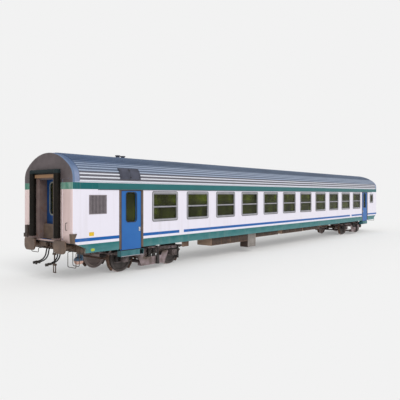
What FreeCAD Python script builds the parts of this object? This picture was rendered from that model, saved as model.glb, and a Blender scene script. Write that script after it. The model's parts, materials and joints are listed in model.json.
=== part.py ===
"""Second-class passenger coach with a body 26.1 m long, on two four-wheel bogies.

Millimetres.  +X runs along the coach, the front end is at -X, +Y is its left side, +Z is up.
The origin lies under the middle of the coach, level with the lowest points of the wheel flanges.
Heights named ..._H are heights above the rail; rail() adds the depth of the flanges below it.
"""
import FreeCAD, Part
import math
import os

os.makedirs("parts", exist_ok=True)
Vector = FreeCAD.Vector

# ---- driving dimensions -------------------------------------------------------------------
FIT = 0.3                    # gap between pieces that seat in one another
RUNNING_GAP = 8.0            # gap round pieces that move

FLANGE_DEPTH = 28.0          # the flanges reach this far below the rail's top
BODY_LENGTH = 26100.0        # over the end walls
BODY_WIDTH = 2825.0
BUFFER_REACH = 120.0         # buffer faces in front of the end walls
WALL = 75.0                  # side walls and roof, outer sheet to inner lining
END_WALL = 80.0
SKIRT_H = 865.0              # lower edge of the side walls
FLOOR_H = 1250.0
FLOOR_THICKNESS = 100.0
CANTRAIL_H = 3070.0          # side wall meets roof
SPRING_LINE_H = CANTRAIL_H + 130.0   # the roof starts to bend inwards
SHOULDER_RADIUS = 500.0
ROOF_RISE = 840.0
RIDGE_H = SPRING_LINE_H + ROOF_RISE
CEILING_H = SPRING_LINE_H + 180.0
CEILING_THICKNESS = 20.0

RIB_PITCH = 112.0            # corrugations of the roof sheet
RIB_WIDTH = 62.0
RIB_HEIGHT = 20.0
END_RIM_RADIUS = 30.0        # rounded edge round the end walls
PLAIN_ROOF_END = 250.0       # the corrugations stop this far from the end of the body

WINDOW_COUNT = 11
WINDOW_ROW_FROM_END = 2966.0
WINDOW_ROW_SHIFT = 66.0      # the row of the right-hand side stands this far to the rear
WINDOW_PITCH = (BODY_LENGTH - 2 * WINDOW_ROW_FROM_END) / WINDOW_COUNT
WINDOW_PILLAR = 543.0
WINDOW_WIDTH = WINDOW_PITCH - WINDOW_PILLAR
WINDOW_LOW_H = 1735.0
WINDOW_UNDER_CANTRAIL = 280.0
WINDOW_HIGH_H = CANTRAIL_H - WINDOW_UNDER_CANTRAIL
WINDOW_CORNER = 60.0
FRAME_SIDE = 56.0            # rails of the window frame
FRAME_LOW = 77.0
FRAME_HIGH = 88.0
FRAME_PROUD = 8.0
FRAME_DEPTH = 30.0
MID_BAR_H = 2247.0
MID_BAR = 50.0
PANE = 6.0
PANE_LAP = 15.0              # the pane overlaps its frame

WASHROOM_WINDOW_FROM_END = 1015.0
WASHROOM_WINDOW_WIDTH = 640.0
WASHROOM_WINDOW_LOW_H = 2080.0
WASHROOM_WINDOW_HIGH_H = WINDOW_HIGH_H - 70.0

GRILLE_FROM_END = 936.0      # centre of the vent grille from the end of the body
GRILLE_WIDTH = 680.0
GRILLE_LOW_H = 2070.0
GRILLE_HIGH_H = WASHROOM_WINDOW_HIGH_H - 40.0
GRILLE_SLATS = 12

DOOR_FROM_END = 2325.0       # centre of each entrance from the end of the body
DOOR_OPENING = 1075.0
DOOR_UNDER_CANTRAIL = 210.0
DOOR_OPENING_HIGH_H = CANTRAIL_H - DOOR_UNDER_CANTRAIL
DOOR_LEAF_WIDTH = 890.0
DOOR_LOW_H = 812.0
DOOR_HIGH_H = DOOR_OPENING_HIGH_H - 30.0
DOOR_THICKNESS = 45.0
DOOR_RECESS = 8.0
DOOR_WINDOW_WIDTH = 440.0
DOOR_WINDOW_LOW_H = 1770.0
DOOR_WINDOW_HIGH_H = DOOR_HIGH_H - 75.0
DOOR_WINDOW_CORNER = 90.0

STEP_LOW_H = 600.0
STEP_HIGH_H = 800.0
UPPER_STEP_H = 930.0
STEP_DEPTH = 205.0
STEP_SHEET = 20.0
STEP_OVERLAP = 8.0           # the step box starts this far beside the entrance's opening
POCKET_WIDTH = 155.0         # lamp pocket at the step box's inner end
POCKET_DEPTH = 110.0
POCKET_MARGIN = 15.0
WELL_DEPTH = 320.0           # the notch that the entrance cuts into the floor

UNDERFRAME_LOW_H = 975.0
SOLEBAR = 80.0
SOLEBAR_IN = 417.5              # outer side of the solebars inside the body side
CROSS_MEMBER = 80.0
CROSS_MEMBER_COUNT = 13
HEADSTOCK_FROM_END = 350.0
HEADSTOCK_THICKNESS = 140.0
HEADSTOCK_IN = 82.5            # the headstock ends this far inside the body side
HEADSTOCK_LOW_H = 880.0
END_SILL_H = 1200.0          # lower edge of the end walls
END_SILL = 60.0
END_SILL_INNER = 180.0
END_SILL_OUTER = 600.0
SKIRT_CUT_H = 1010.0         # the skirt's slanted corner runs down to here

GANGWAY_HALF = 400.0         # clear half width of the passage
GANGWAY_HIGH_H = SPRING_LINE_H
GANGWAY_DOOR_RECESS = 240.0  # door plane behind the end wall's face
PORTAL_SHEET = 30.0
PORTAL_FACE = 30.0           # the portal's flange in front of the end wall
PORTAL_FACE_HALF = 600.0
LINTEL_LOW_H = GANGWAY_HIGH_H + 28.0
LINTEL_H = LINTEL_LOW_H + 107.0
LINTEL_FACE = 80.0           # the lintel in front of the end wall
BELLOWS_Y = 715.0
BELLOWS_DIAMETER = 180.0
BELLOWS_TOP_DIAMETER = 124.0
BELLOWS_LOW_H = 1335.0
BELLOWS_TOP_H = LINTEL_H + 93.0       # middle of the bellows' top tube
BELLOWS_CORNER = 55.0
BELLOWS_FLANGE = 15.0
BELLOWS_FLANGE_HALF = 60.0
BELLOWS_FOOT = 58.0
GANGWAY_LEAF = 40.0
GANGWAY_LEAF_HALF = 415.0
GANGWAY_LEAF_WINDOW_HALF = 240.0
GANGWAY_LEAF_WINDOW_LOW_H = 2030.0
GANGWAY_LEAF_WINDOW_HIGH_H = GANGWAY_HIGH_H - 110.0
GANGWAY_LEAF_WINDOW_CORNER = 140.0
HANGER_OFFSET = 280.0
TRACK_HEIGHT = 60.0

FALL_PLATE_HALF = 388.0
FALL_PLATE_HIGH_H = 1745.0
FALL_PLATE = 12.0
FALL_TUBE_RADIUS = 18.0
FALL_PIN_RADIUS = 8.0
FALL_PIN_H = FLOOR_H + 24.0
FALL_PIN_IN = 120.0          # hinge line behind the end wall's face

BUFFER_Y = 875.0
BUFFER_H = 1060.0
BUFFER_HEAD_WIDTH = 640.0
BUFFER_HEAD_HEIGHT = 400.0
BUFFER_HEAD = 45.0
BUFFER_CORNER_TOP = 90.0
BUFFER_CORNER_LOW = 170.0
BUFFER_PLATE = 25.0
BUFFER_PLATE_HALF = 170.0
BUFFER_SLEEVE_RADIUS = 86.0
BUFFER_RAM_RADIUS = 68.0
BUFFER_SLEEVE_SHARE = 0.66   # of the distance from headstock to buffer face

PARTITION_FROM_END = 3075.0
PARTITION = 40.0
SALOON_DOORWAY_HALF = 350.0
SALOON_DOORWAY_HIGH_H = CEILING_H - 140.0
WASHROOM_WALL = 30.0
WASHROOM_CORRIDOR_HALF = 450.0
WASHROOM_FROM_END = 470.0
WASHROOM_TO_END = 1600.0

SEAT_WIDTH = 1040.0
SEAT_DEPTH = 470.0
SEAT_TOP = 450.0             # above the floor
SEAT_CUSHION = 120.0
SEAT_BACK = 110.0
SEAT_BACK_TOP = 1150.0

HOOK_FROM_FACE = 230.0       # nose of the draw hook in front of the headstock
HOOK_SHANK = 45.0            # half height of the hook's shank
COUPLING_FROM_FACE = 80.0    # the coupling's pin in front of the headstock
COUPLING_LOW_H = 150.0
COUPLING_BAR = 17.0

CORNER_STEP_LOW_H = 455.0
FRONT_STEP_LOW_H = 425.0
LOW_RAIL_H = 750.0             # the short stirrup under the other front corner
FRONT_STEP_OUT = 150.0       # the front stirrup in front of the headstock
CORNER_STEP_INNER = 865.0
CORNER_STEP_IN = 142.5
CORNER_STEP_BAR = 11.0
SOCKET_BOX_WIDTH = 175.0
SOCKET_BOX_IN = 187.5
SOCKET_BOX_LOW_H = 1275.0
SOCKET_BOX_HIGH_H = 1670.0
SOCKET_BOX_DEPTH = 95.0
LAMP_BRACKET_HIGH_H = 1493.0
LAMP_BRACKET_WAIST_H = 1315.0
LAMP_BRACKET_LOW_H = 1205.0
LAMP_BRACKET_IN = 82.5
LAMP_BRACKET_PROUD = 30.0
LAMP_BRACKET_OUT = 60.0
LAMP_BRACKET_BACK = 145.0

BOGIE_FROM_END = 3550.0      # pivot from the end of the body
BOGIE_WHEELBASE = 2400.0
WHEEL_RADIUS = 460.0
WHEEL_BACK = 680.0           # half the distance between the wheels' backs
WHEEL_WIDTH = 135.0
AXLE_RADIUS = 82.0
JOURNAL_RADIUS = 65.0
JOURNAL_END = 1080.0
JOURNAL_GAP = 0.5

FRAME_BEAM_INNER = 860.0
FRAME_BEAM_OUTER = 980.0
FRAME_BEAM_LOW_H = 610.0
FRAME_BEAM_TOP_H = 730.0
FRAME_BEAM_END = 1800.0
FRAME_BEAM_TAPER = 330.0
BELLY_TOP = 800.0              # half length of the beams' deeper middle
BELLY_LOW = 640.0
AXLE_BOX_HALF = 125.0
AXLE_BOX_OUTER = 1128.0
PRIMARY_SPRING_RADIUS = 68.0
PRIMARY_SPRING_OFFSET = 265.0
SPRING_SEAT_H = 375.0
SPRING_SEAT = 30.0
SECONDARY_SPRING_RADIUS = 80.0
SECONDARY_SPRING_X = 110.0
SECONDARY_SPRING_Y = 1090.0
PAN_INNER = 990.0
PAN_OUTER = 1190.0
PAN_LOW_H = 150.0
PAN_SHEET = 18.0
PAN_HALF = 575.0
PAN_TOP_H = 440.0
PAN_LIP_H = 290.0            # top of the trough's inner side
PAN_ARM_INNER = 490.0
PAN_ARM_OUTER = 775.0
PAN_ARM_TOP_H = 585.0
BOLSTER_HALF = 200.0
BOLSTER_LOW_H = 740.0
BOLSTER_BELLY = 120.0
BOLSTER_DAMPER_X = 155.0       # from the bogie's middle
BOLSTER_DAMPER_RADIUS = 60.0
BOLSTER_DAMPER_BODY = 330.0
BOLSTER_BELLY_HALF = 600.0
TRANSOM_NEAR, TRANSOM_FAR = 380.0, 560.0     # the transoms' sides from the bogie's middle
DAMPER_LOW_H, DAMPER_TOP_H = 250.0, 700.0
BOLSTER_TOP_H = 800.0
PIVOT_RADIUS = 200.0
PIVOT_H = 880.0              # underside of the body's bolster
PIVOT_PLATE = 18.0
BODY_BOLSTER_HALF = 250.0

# ---- derived places -----------------------------------------------------------------------
HALF_LENGTH = BODY_LENGTH / 2
HALF_WIDTH = BODY_WIDTH / 2
INNER_HALF = HALF_WIDTH - WALL
SOLEBAR_OUTER = HALF_WIDTH - SOLEBAR_IN
SOLEBAR_INNER = SOLEBAR_OUTER - SOLEBAR
HEADSTOCK_HALF = HALF_WIDTH - HEADSTOCK_IN
CORNER_STEP_OUTER = HALF_WIDTH - CORNER_STEP_IN
SOCKET_BOX_OUTER = HALF_WIDTH - SOCKET_BOX_IN
SOCKET_BOX_INNER = SOCKET_BOX_OUTER - SOCKET_BOX_WIDTH
LAMP_BRACKET_INNER = HALF_WIDTH - LAMP_BRACKET_IN
BUFFER_FACE = HALF_LENGTH + BUFFER_REACH
WALL_END = HALF_LENGTH - END_WALL
HEADSTOCK_BACK = HALF_LENGTH - HEADSTOCK_FROM_END - HEADSTOCK_THICKNESS
HEADSTOCK_FACE = HALF_LENGTH - HEADSTOCK_FROM_END
SHOULDER_Y = HALF_WIDTH - SHOULDER_RADIUS
DOOR_X = HALF_LENGTH - DOOR_FROM_END
STEP_BOX_INNER = DOOR_X - DOOR_OPENING / 2 - STEP_OVERLAP
STEP_BOX_OUTER = DOOR_X + DOOR_LEAF_WIDTH / 2
BOGIE_X = HALF_LENGTH - BOGIE_FROM_END
AXLE_H = WHEEL_RADIUS
SHOE_LOW_ANGLE = -46.0         # below the axle's level
SHOE_TOP_ANGLE = 14.0
SHOE_WEDGES = 3
SHOE_THICKNESS = 50.0
SHOE_HALF = 55.0
SHOE_Y = 750.0
PAD_DOWN, PAD_UP = 50.0, 100.0   # the hanger's pad behind a shoe, from the axle's level
BRAKE_BEAM_HALF = 820.0


def rail(height):
    """The height of a point given above the rail."""
    return FLANGE_DEPTH + height


# the crown's centre is where its arc runs smoothly into both shoulders
CROWN_RISE = (RIDGE_H - SHOULDER_RADIUS) - SPRING_LINE_H
CROWN_CENTRE_H = ((RIDGE_H - SHOULDER_RADIUS) + SPRING_LINE_H - SHOULDER_Y ** 2 / CROWN_RISE) / 2
CROWN_RADIUS = RIDGE_H - CROWN_CENTRE_H
CROWN_ANGLE = math.atan2(SPRING_LINE_H - CROWN_CENTRE_H, SHOULDER_Y)


# ---- shapes -------------------------------------------------------------------------------
def block(x0, x1, y0, y1, z0, z1):
    """A box between two corners, in any order."""
    low = Vector(min(x0, x1), min(y0, y1), min(z0, z1))
    return Part.makeBox(abs(x1 - x0), abs(y1 - y0), abs(z1 - z0), low)


def rod(start, end, radius):
    """A round bar between two points."""
    axis = end - start
    return Part.makeCylinder(radius, axis.Length, start, axis)


def joined(shapes):
    """One solid made of several."""
    whole = shapes[0]
    if len(shapes) > 1:
        whole = whole.fuse(shapes[1:])
    return whole.removeSplitter()


def cut(shape, tools):
    """A shape with others taken out."""
    return shape.cut(tools) if tools else shape


def outline_xz(points, y0, y1):
    """A flat outline of (x, z) points given thickness along Y."""
    corners = [Vector(x, y0, z) for x, z in points]
    face = Part.Face(Part.makePolygon(corners + corners[:1]))
    return face.extrude(Vector(0, y1 - y0, 0))


def outline_yz(points, x0, x1):
    """A flat outline of (y, z) points given thickness along X."""
    corners = [Vector(x0, y, z) for y, z in points]
    face = Part.Face(Part.makePolygon(corners + corners[:1]))
    return face.extrude(Vector(x1 - x0, 0, 0))


def rounded_plate(x_mid, width, z0, z1, corner, y0, y1):
    """An upright plate facing Y with rounded corners."""
    plate = block(x_mid - width / 2, x_mid + width / 2, y0, y1, z0, z1)
    edges = [e for e in plate.Edges if abs(e.tangentAt(e.FirstParameter).y) > 0.9]
    return plate.makeFillet(corner, edges)


def rounded_end_plate(y_mid, width, z0, z1, corner, x0, x1):
    """An upright plate facing X with rounded corners."""
    plate = block(x0, x1, y_mid - width / 2, y_mid + width / 2, z0, z1)
    edges = [e for e in plate.Edges if abs(e.tangentAt(e.FirstParameter).x) > 0.9]
    return plate.makeFillet(corner, edges)


def mirrored_y(shape):
    """The same piece on the coach's other side."""
    return shape.mirror(Vector(0, 0, 0), Vector(0, 1, 0))


def turned(shape):
    """The same piece at the coach's other end, turned half a turn about the middle."""
    copy = shape.copy()
    copy.rotate(Vector(0, 0, 0), Vector(0, 0, 1), 180)
    return copy


def save(node, *solids):
    """Write one node: a solid, or like solids that don't touch."""
    shape = solids[0] if len(solids) == 1 else Part.makeCompound(list(solids))
    shape.exportStep("parts/" + node + ".step")


def crown_point(angle, inset):
    """A point on the crown or shoulder arc at an angle up from the horizontal."""
    if angle >= CROWN_ANGLE:
        radius = CROWN_RADIUS - inset
        return radius * math.cos(angle), rail(CROWN_CENTRE_H) + radius * math.sin(angle)
    radius = SHOULDER_RADIUS - inset
    return SHOULDER_Y + radius * math.cos(angle), rail(SPRING_LINE_H) + radius * math.sin(angle)


def arch_face(x, low, inset):
    """The body's section above a height, as a face square to X."""
    def at(y, z):
        return Vector(x, y, z)

    half = HALF_WIDTH - inset
    spring = rail(SPRING_LINE_H)
    knee = crown_point(CROWN_ANGLE, inset)
    shoulder = crown_point(CROWN_ANGLE / 2, inset)
    ridge = rail(RIDGE_H) - inset
    edges = [
        Part.makeLine(at(-half, low), at(-half, spring)),
        Part.Arc(at(-half, spring), at(-shoulder[0], shoulder[1]), at(-knee[0], knee[1])).toShape(),
        Part.Arc(at(-knee[0], knee[1]), at(0, ridge), at(*knee)).toShape(),
        Part.Arc(at(*knee), at(*shoulder), at(half, spring)).toShape(),
        Part.makeLine(at(half, spring), at(half, low)),
        Part.makeLine(at(half, low), at(-half, low)),
    ]
    return Part.Face(Part.Wire(edges))


def arch(x0, x1, low, inset):
    return arch_face(x0, low, inset).extrude(Vector(x1 - x0, 0, 0))


# ---- body shell ---------------------------------------------------------------------------
WINDOW_XS = [WINDOW_ROW_SHIFT + (i - (WINDOW_COUNT - 1) / 2) * WINDOW_PITCH for i in range(WINDOW_COUNT)]
# small openings of the right-hand side; the left-hand side is the same, turned half a turn
WASHROOM_WINDOW_X = HALF_LENGTH - WASHROOM_WINDOW_FROM_END
GRILLE_X = -(HALF_LENGTH - GRILLE_FROM_END)


def side_wall():
    """Right-hand side wall, from the skirt up to the cantrail."""
    low, high = rail(SKIRT_H), rail(CANTRAIL_H)
    corner_x, corner_z = HEADSTOCK_BACK, rail(SKIRT_CUT_H)
    outline = [
        (-WALL_END, high), (WALL_END, high), (WALL_END, rail(END_SILL_H)),
        (corner_x, corner_z), (corner_x, low), (-corner_x, low), (-corner_x, corner_z),
        (-WALL_END, rail(END_SILL_H)),
    ]
    wall = outline_xz(outline, -HALF_WIDTH, -INNER_HALF)
    y0, y1 = -HALF_WIDTH - 1, -INNER_HALF + 1
    holes = [rounded_plate(x, WINDOW_WIDTH, rail(WINDOW_LOW_H), rail(WINDOW_HIGH_H), WINDOW_CORNER,
                           y0, y1) for x in WINDOW_XS]
    holes.append(rounded_plate(WASHROOM_WINDOW_X, WASHROOM_WINDOW_WIDTH, rail(WASHROOM_WINDOW_LOW_H),
                               rail(WASHROOM_WINDOW_HIGH_H), WINDOW_CORNER, y0, y1))
    holes.append(block(GRILLE_X - GRILLE_WIDTH / 2, GRILLE_X + GRILLE_WIDTH / 2, y0, y1,
                       rail(GRILLE_LOW_H), rail(GRILLE_HIGH_H)))
    for x in (-DOOR_X, DOOR_X):
        holes.append(block(x - DOOR_OPENING / 2, x + DOOR_OPENING / 2, y0, y1,
                           low - 1, rail(DOOR_OPENING_HIGH_H)))
    return cut(wall, holes)


def end_wall():
    """Front end wall with the gangway's opening and rounded outer edges."""
    slab = arch(-HALF_LENGTH, -WALL_END, rail(END_SILL_H), 0)
    rim = [e for e in slab.Edges
           if e.BoundBox.XMax < -HALF_LENGTH + 1 and e.BoundBox.ZMax > rail(END_SILL_H) + 1]
    slab = slab.makeFillet(END_RIM_RADIUS, rim)
    half = GANGWAY_HALF + PORTAL_SHEET
    opening = block(-HALF_LENGTH - 1, -WALL_END + 1, -half, half, rail(FLOOR_H),
                    rail(GANGWAY_HIGH_H) + PORTAL_SHEET)
    return cut(slab, [opening])


def roof():
    """Roof shell with its lengthwise corrugations."""
    low = rail(CANTRAIL_H)
    shell = arch(-WALL_END, WALL_END, low, 0).cut(arch(-WALL_END - 1, WALL_END + 1, low - 1, WALL))
    ribs = []
    half = HALF_LENGTH - PLAIN_ROOF_END
    shoulder_length = SHOULDER_RADIUS * CROWN_ANGLE
    crown_length = CROWN_RADIUS * (math.pi / 2 - CROWN_ANGLE)
    straight = SPRING_LINE_H - CANTRAIL_H
    count = int((straight + shoulder_length + crown_length) / RIB_PITCH)
    for i in range(count):
        along = RIB_PITCH * (i + 0.5)
        if along < straight:
            angle = 0.0
            y, z = HALF_WIDTH, low + along
        elif along < straight + shoulder_length:
            angle = (along - straight) / SHOULDER_RADIUS
            y, z = crown_point(angle, 0)
        else:
            angle = CROWN_ANGLE + (along - straight - shoulder_length) / CROWN_RADIUS
            y, z = crown_point(angle, 0)
        for side in (-1, 1):
            out = Vector(0, side * math.cos(angle), math.sin(angle))
            across = Vector(0, -out.z, out.y)
            foot = Vector(-half, side * y, z)
            foot_half, top_half = RIB_WIDTH / 2, RIB_WIDTH / 4
            section = [(-foot_half, -RIB_HEIGHT), (-foot_half, 0), (-top_half, RIB_HEIGHT),
                       (top_half, RIB_HEIGHT), (foot_half, 0), (foot_half, -RIB_HEIGHT)]
            corners = [foot + across * a + out * b for a, b in section]
            face = Part.Face(Part.makePolygon(corners + corners[:1]))
            ribs.append(face.extrude(Vector(2 * half, 0, 0)))
    return shell.fuse(ribs)


def floor():
    slab = block(-WALL_END, WALL_END, -INNER_HALF, INNER_HALF, rail(FLOOR_H - FLOOR_THICKNESS),
                 rail(FLOOR_H))
    wells = []
    for x in (-DOOR_X, DOOR_X):
        for side in (-1, 1):
            wells.append(block(x - DOOR_OPENING / 2, x + DOOR_OPENING / 2,
                               side * (INNER_HALF - WELL_DEPTH), side * (INNER_HALF + 1), 0,
                               rail(FLOOR_H) + 1))
    return cut(slab, wells)


def underframe(cocks):
    """Solebars, cross members, headstocks and the body bolsters over the bogies, each its own solid."""
    low, high = rail(UNDERFRAME_LOW_H), rail(FLOOR_H - FLOOR_THICKNESS)
    inner, outer = SOLEBAR_INNER - FIT, SOLEBAR_OUTER + FIT
    half = CROSS_MEMBER / 2
    members = []
    for side in (-1, 1):
        members.append(block(-HEADSTOCK_BACK + FIT, HEADSTOCK_BACK - FIT, side * SOLEBAR_INNER,
                             side * SOLEBAR_OUTER, low, high))
    reach = STEP_BOX_INNER - CROSS_MEMBER
    for i in range(CROSS_MEMBER_COUNT):
        x = -reach + 2 * reach * i / (CROSS_MEMBER_COUNT - 1)
        members.append(block(x - half, x + half, -inner, inner, low, high))
        for side in (-1, 1):
            members.append(block(x - half, x + half, side * outer, side * INNER_HALF, low, high))
    for end, valves in ((-1, cocks), (1, [turned(cock) for cock in cocks])):
        beam = block(end * HEADSTOCK_BACK, end * HEADSTOCK_FACE, -HEADSTOCK_HALF, HEADSTOCK_HALF,
                     rail(HEADSTOCK_LOW_H), high)
        members.append(joined([beam] + valves))
        for side in (-1, 1):
            sill = block(end * (WALL_END - END_SILL), end * WALL_END, side * END_SILL_INNER,
                         side * END_SILL_OUTER, low + 40, high)
            arm = block(end * (HEADSTOCK_FACE + FIT), end * (WALL_END - END_SILL),
                        side * (END_SILL_OUTER - 80), side * END_SILL_OUTER, low + 40, high)
            members.append(joined([sill, arm]))
        x0, x1 = end * (BOGIE_X - BODY_BOLSTER_HALF), end * (BOGIE_X + BODY_BOLSTER_HALF)
        bolster = [block(x0, x1, -SOLEBAR_OUTER, SOLEBAR_OUTER, rail(PIVOT_H), low - FIT),
                   block(x0, x1, -inner, inner, rail(PIVOT_H), high),
                   Part.makeCylinder(PIVOT_RADIUS, PIVOT_PLATE + 2,
                                     Vector(end * BOGIE_X, 0, rail(PIVOT_H) - PIVOT_PLATE))]
        members.append(joined(bolster))
    return members


# ---- windows, grilles and entrances of the right-hand side ----------------------------------
def framed_window(x, width, low, high, bar):
    """A window frame in its opening."""
    y_face, y_back = -HALF_WIDTH - FRAME_PROUD, -HALF_WIDTH + FRAME_DEPTH
    ring = rounded_plate(x, width - 2 * FIT, low + FIT, high - FIT, WINDOW_CORNER, y_face, y_back)
    sight = rounded_plate(x, width - 2 * FRAME_SIDE, low + FRAME_LOW, high - FRAME_HIGH,
                          WINDOW_CORNER / 2, y_face - 1, y_back + 1)
    ring = ring.cut(sight)
    if bar:
        reach = width / 2 - FRAME_SIDE + 5
        ring = ring.fuse(block(x - reach, x + reach, y_face + 6, y_back, rail(MID_BAR_H) - MID_BAR / 2,
                               rail(MID_BAR_H) + MID_BAR / 2))
    return ring.removeSplitter()


def pane(x, width, low, high):
    y_back = -HALF_WIDTH + FRAME_DEPTH
    half = width / 2 - FRAME_SIDE + PANE_LAP
    return block(x - half, x + half, y_back, y_back + PANE, low + FRAME_LOW - PANE_LAP,
                 high - FRAME_HIGH + PANE_LAP)


# rows of x, width, low, high, has a middle bar
WINDOW_TABLE = [(x, WINDOW_WIDTH, rail(WINDOW_LOW_H), rail(WINDOW_HIGH_H), True) for x in WINDOW_XS]
WINDOW_TABLE.append((WASHROOM_WINDOW_X, WASHROOM_WINDOW_WIDTH, rail(WASHROOM_WINDOW_LOW_H),
                     rail(WASHROOM_WINDOW_HIGH_H), False))


def grille():
    """Vent grille: a frame filled with upright slats."""
    low, high = rail(GRILLE_LOW_H) + FIT, rail(GRILLE_HIGH_H) - FIT
    half = GRILLE_WIDTH / 2 - FIT
    ring = block(GRILLE_X - half, GRILLE_X + half, -HALF_WIDTH - FRAME_PROUD, -HALF_WIDTH + FRAME_DEPTH,
                 low, high)
    ring = ring.cut(block(GRILLE_X - half + 20, GRILLE_X + half - 20, -HALF_WIDTH - 20, -HALF_WIDTH + 15,
                          low + 20, high - 20))
    slats = []
    for i in range(GRILLE_SLATS):
        x = GRILLE_X - half + 20 + (2 * half - 40) * (i + 0.5) / GRILLE_SLATS
        slats.append(block(x - 10, x + 10, -HALF_WIDTH - 2, -HALF_WIDTH + 16, low + 15, high - 15))
    return joined([ring] + slats)


def door_frame(x):
    outer = block(x - DOOR_OPENING / 2 + FIT, x + DOOR_OPENING / 2 - FIT, -HALF_WIDTH, -INNER_HALF,
                  rail(SKIRT_H), rail(DOOR_OPENING_HIGH_H) - FIT)
    inner = block(x - DOOR_LEAF_WIDTH / 2 - FIT, x + DOOR_LEAF_WIDTH / 2 + FIT, -HALF_WIDTH - 1,
                  -INNER_HALF + 1, 0, rail(DOOR_HIGH_H) + FIT)
    return outer.cut(inner)


def door_leaf(x):
    y0 = -HALF_WIDTH + DOOR_RECESS
    leaf = block(x - DOOR_LEAF_WIDTH / 2, x + DOOR_LEAF_WIDTH / 2, y0, y0 + DOOR_THICKNESS,
                 rail(DOOR_LOW_H), rail(DOOR_HIGH_H))
    sight = rounded_plate(x, DOOR_WINDOW_WIDTH, rail(DOOR_WINDOW_LOW_H), rail(DOOR_WINDOW_HIGH_H),
                          DOOR_WINDOW_CORNER, y0 - 1, y0 + DOOR_THICKNESS + 1)
    return leaf.cut(sight)


def door_pane(x):
    y0 = -HALF_WIDTH + DOOR_RECESS + DOOR_THICKNESS
    return block(x - DOOR_WINDOW_WIDTH / 2 - PANE_LAP, x + DOOR_WINDOW_WIDTH / 2 + PANE_LAP, y0, y0 + PANE,
                 rail(DOOR_WINDOW_LOW_H) - PANE_LAP, rail(DOOR_WINDOW_HIGH_H) + PANE_LAP)


def step_box(x):
    """Steps under an entrance: a shallow lower step with a pocket and a deeper upper one."""
    end = 1 if x > 0 else -1
    x0, x1 = end * STEP_BOX_INNER, end * STEP_BOX_OUTER
    y_out, y_low = -HALF_WIDTH, -HALF_WIDTH + STEP_DEPTH
    y_deep = -INNER_HALF + WELL_DEPTH
    low, top = rail(STEP_LOW_H), rail(STEP_HIGH_H)
    high = rail(FLOOR_H - FLOOR_THICKNESS)
    landing = rail(UPPER_STEP_H)
    x_pocket = x0 + end * (2 * POCKET_MARGIN + POCKET_WIDTH)
    lower = block(x0, x1, y_out, y_low, low, top)
    lower = lower.cut(block(x_pocket, x1 - end * STEP_SHEET, y_out + STEP_SHEET, y_low - STEP_SHEET,
                            low + STEP_SHEET, high))
    lower = lower.cut(block(x0 + end * POCKET_MARGIN, x_pocket - end * POCKET_MARGIN, y_out - 1,
                            y_out + POCKET_DEPTH, low + POCKET_MARGIN, top - POCKET_MARGIN))
    half = DOOR_LEAF_WIDTH / 2
    back = block(x - half, x + half, y_low - STEP_SHEET, y_low, low, landing)
    upper = block(x - half, x + half, y_low - STEP_SHEET, y_deep, landing - STEP_SHEET, landing)
    riser = block(x - half, x + half, y_deep - STEP_SHEET, y_deep, landing - STEP_SHEET, high)
    cheeks = []
    for side in (-1, 1):
        x_cheek = x + side * (DOOR_OPENING / 2 - STEP_SHEET)
        cheeks.append(block(x + side * half, x_cheek, -INNER_HALF + FIT, y_deep, rail(SKIRT_H) + FIT, high))
    return joined([lower, back, upper, riser] + cheeks)


# ---- gangway ------------------------------------------------------------------------------
PORTAL_BACK = HALF_LENGTH - GANGWAY_DOOR_RECESS
FALL_PIN_X = HALF_LENGTH - FALL_PIN_IN
BELLOWS_X = HALF_LENGTH + BELLOWS_FLANGE + BELLOWS_DIAMETER / 2


def portal():
    """Steel lining of the front passage, with its flange, lintel, door track, bellows' feet and pin."""
    half = GANGWAY_HALF
    high = rail(GANGWAY_HIGH_H)
    lining = block(-HALF_LENGTH, -PORTAL_BACK, -half - PORTAL_SHEET + FIT, half + PORTAL_SHEET - FIT,
                   rail(FLOOR_H), high + PORTAL_SHEET - FIT)
    face = -HALF_LENGTH - PORTAL_FACE
    flange = block(face, -HALF_LENGTH, -PORTAL_FACE_HALF, PORTAL_FACE_HALF, rail(FLOOR_H),
                   rail(LINTEL_H))
    passage = block(face - 1, -PORTAL_BACK + 1, -half, half, rail(FLOOR_H) - 1, high)
    lintel = block(-HALF_LENGTH - LINTEL_FACE, face, -PORTAL_FACE_HALF, PORTAL_FACE_HALF,
                   rail(LINTEL_LOW_H), rail(LINTEL_H))
    track_low = high + RUNNING_GAP + 4
    track = block(-PORTAL_BACK - FIT, -PORTAL_BACK + GANGWAY_LEAF + 2 * RUNNING_GAP, -GANGWAY_LEAF_HALF,
                  3 * GANGWAY_LEAF_HALF, track_low, high + RUNNING_GAP + TRACK_HEIGHT)
    pin = rod(Vector(-FALL_PIN_X, -half - FIT, rail(FALL_PIN_H)),
              Vector(-FALL_PIN_X, half + FIT, rail(FALL_PIN_H)), FALL_PIN_RADIUS)
    feet = []
    for side in (-1, 1):
        y_foot = side * (BELLOWS_Y + BELLOWS_DIAMETER / 2)
        feet.append(block(-BELLOWS_X - BELLOWS_DIAMETER / 2, -HALF_LENGTH,
                          side * (PORTAL_FACE_HALF - 20), y_foot, rail(BELLOWS_LOW_H - BELLOWS_FOOT),
                          rail(BELLOWS_LOW_H) - FIT))
    return joined([lining.fuse(flange).cut(passage), lintel, track, pin] + feet)


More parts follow.
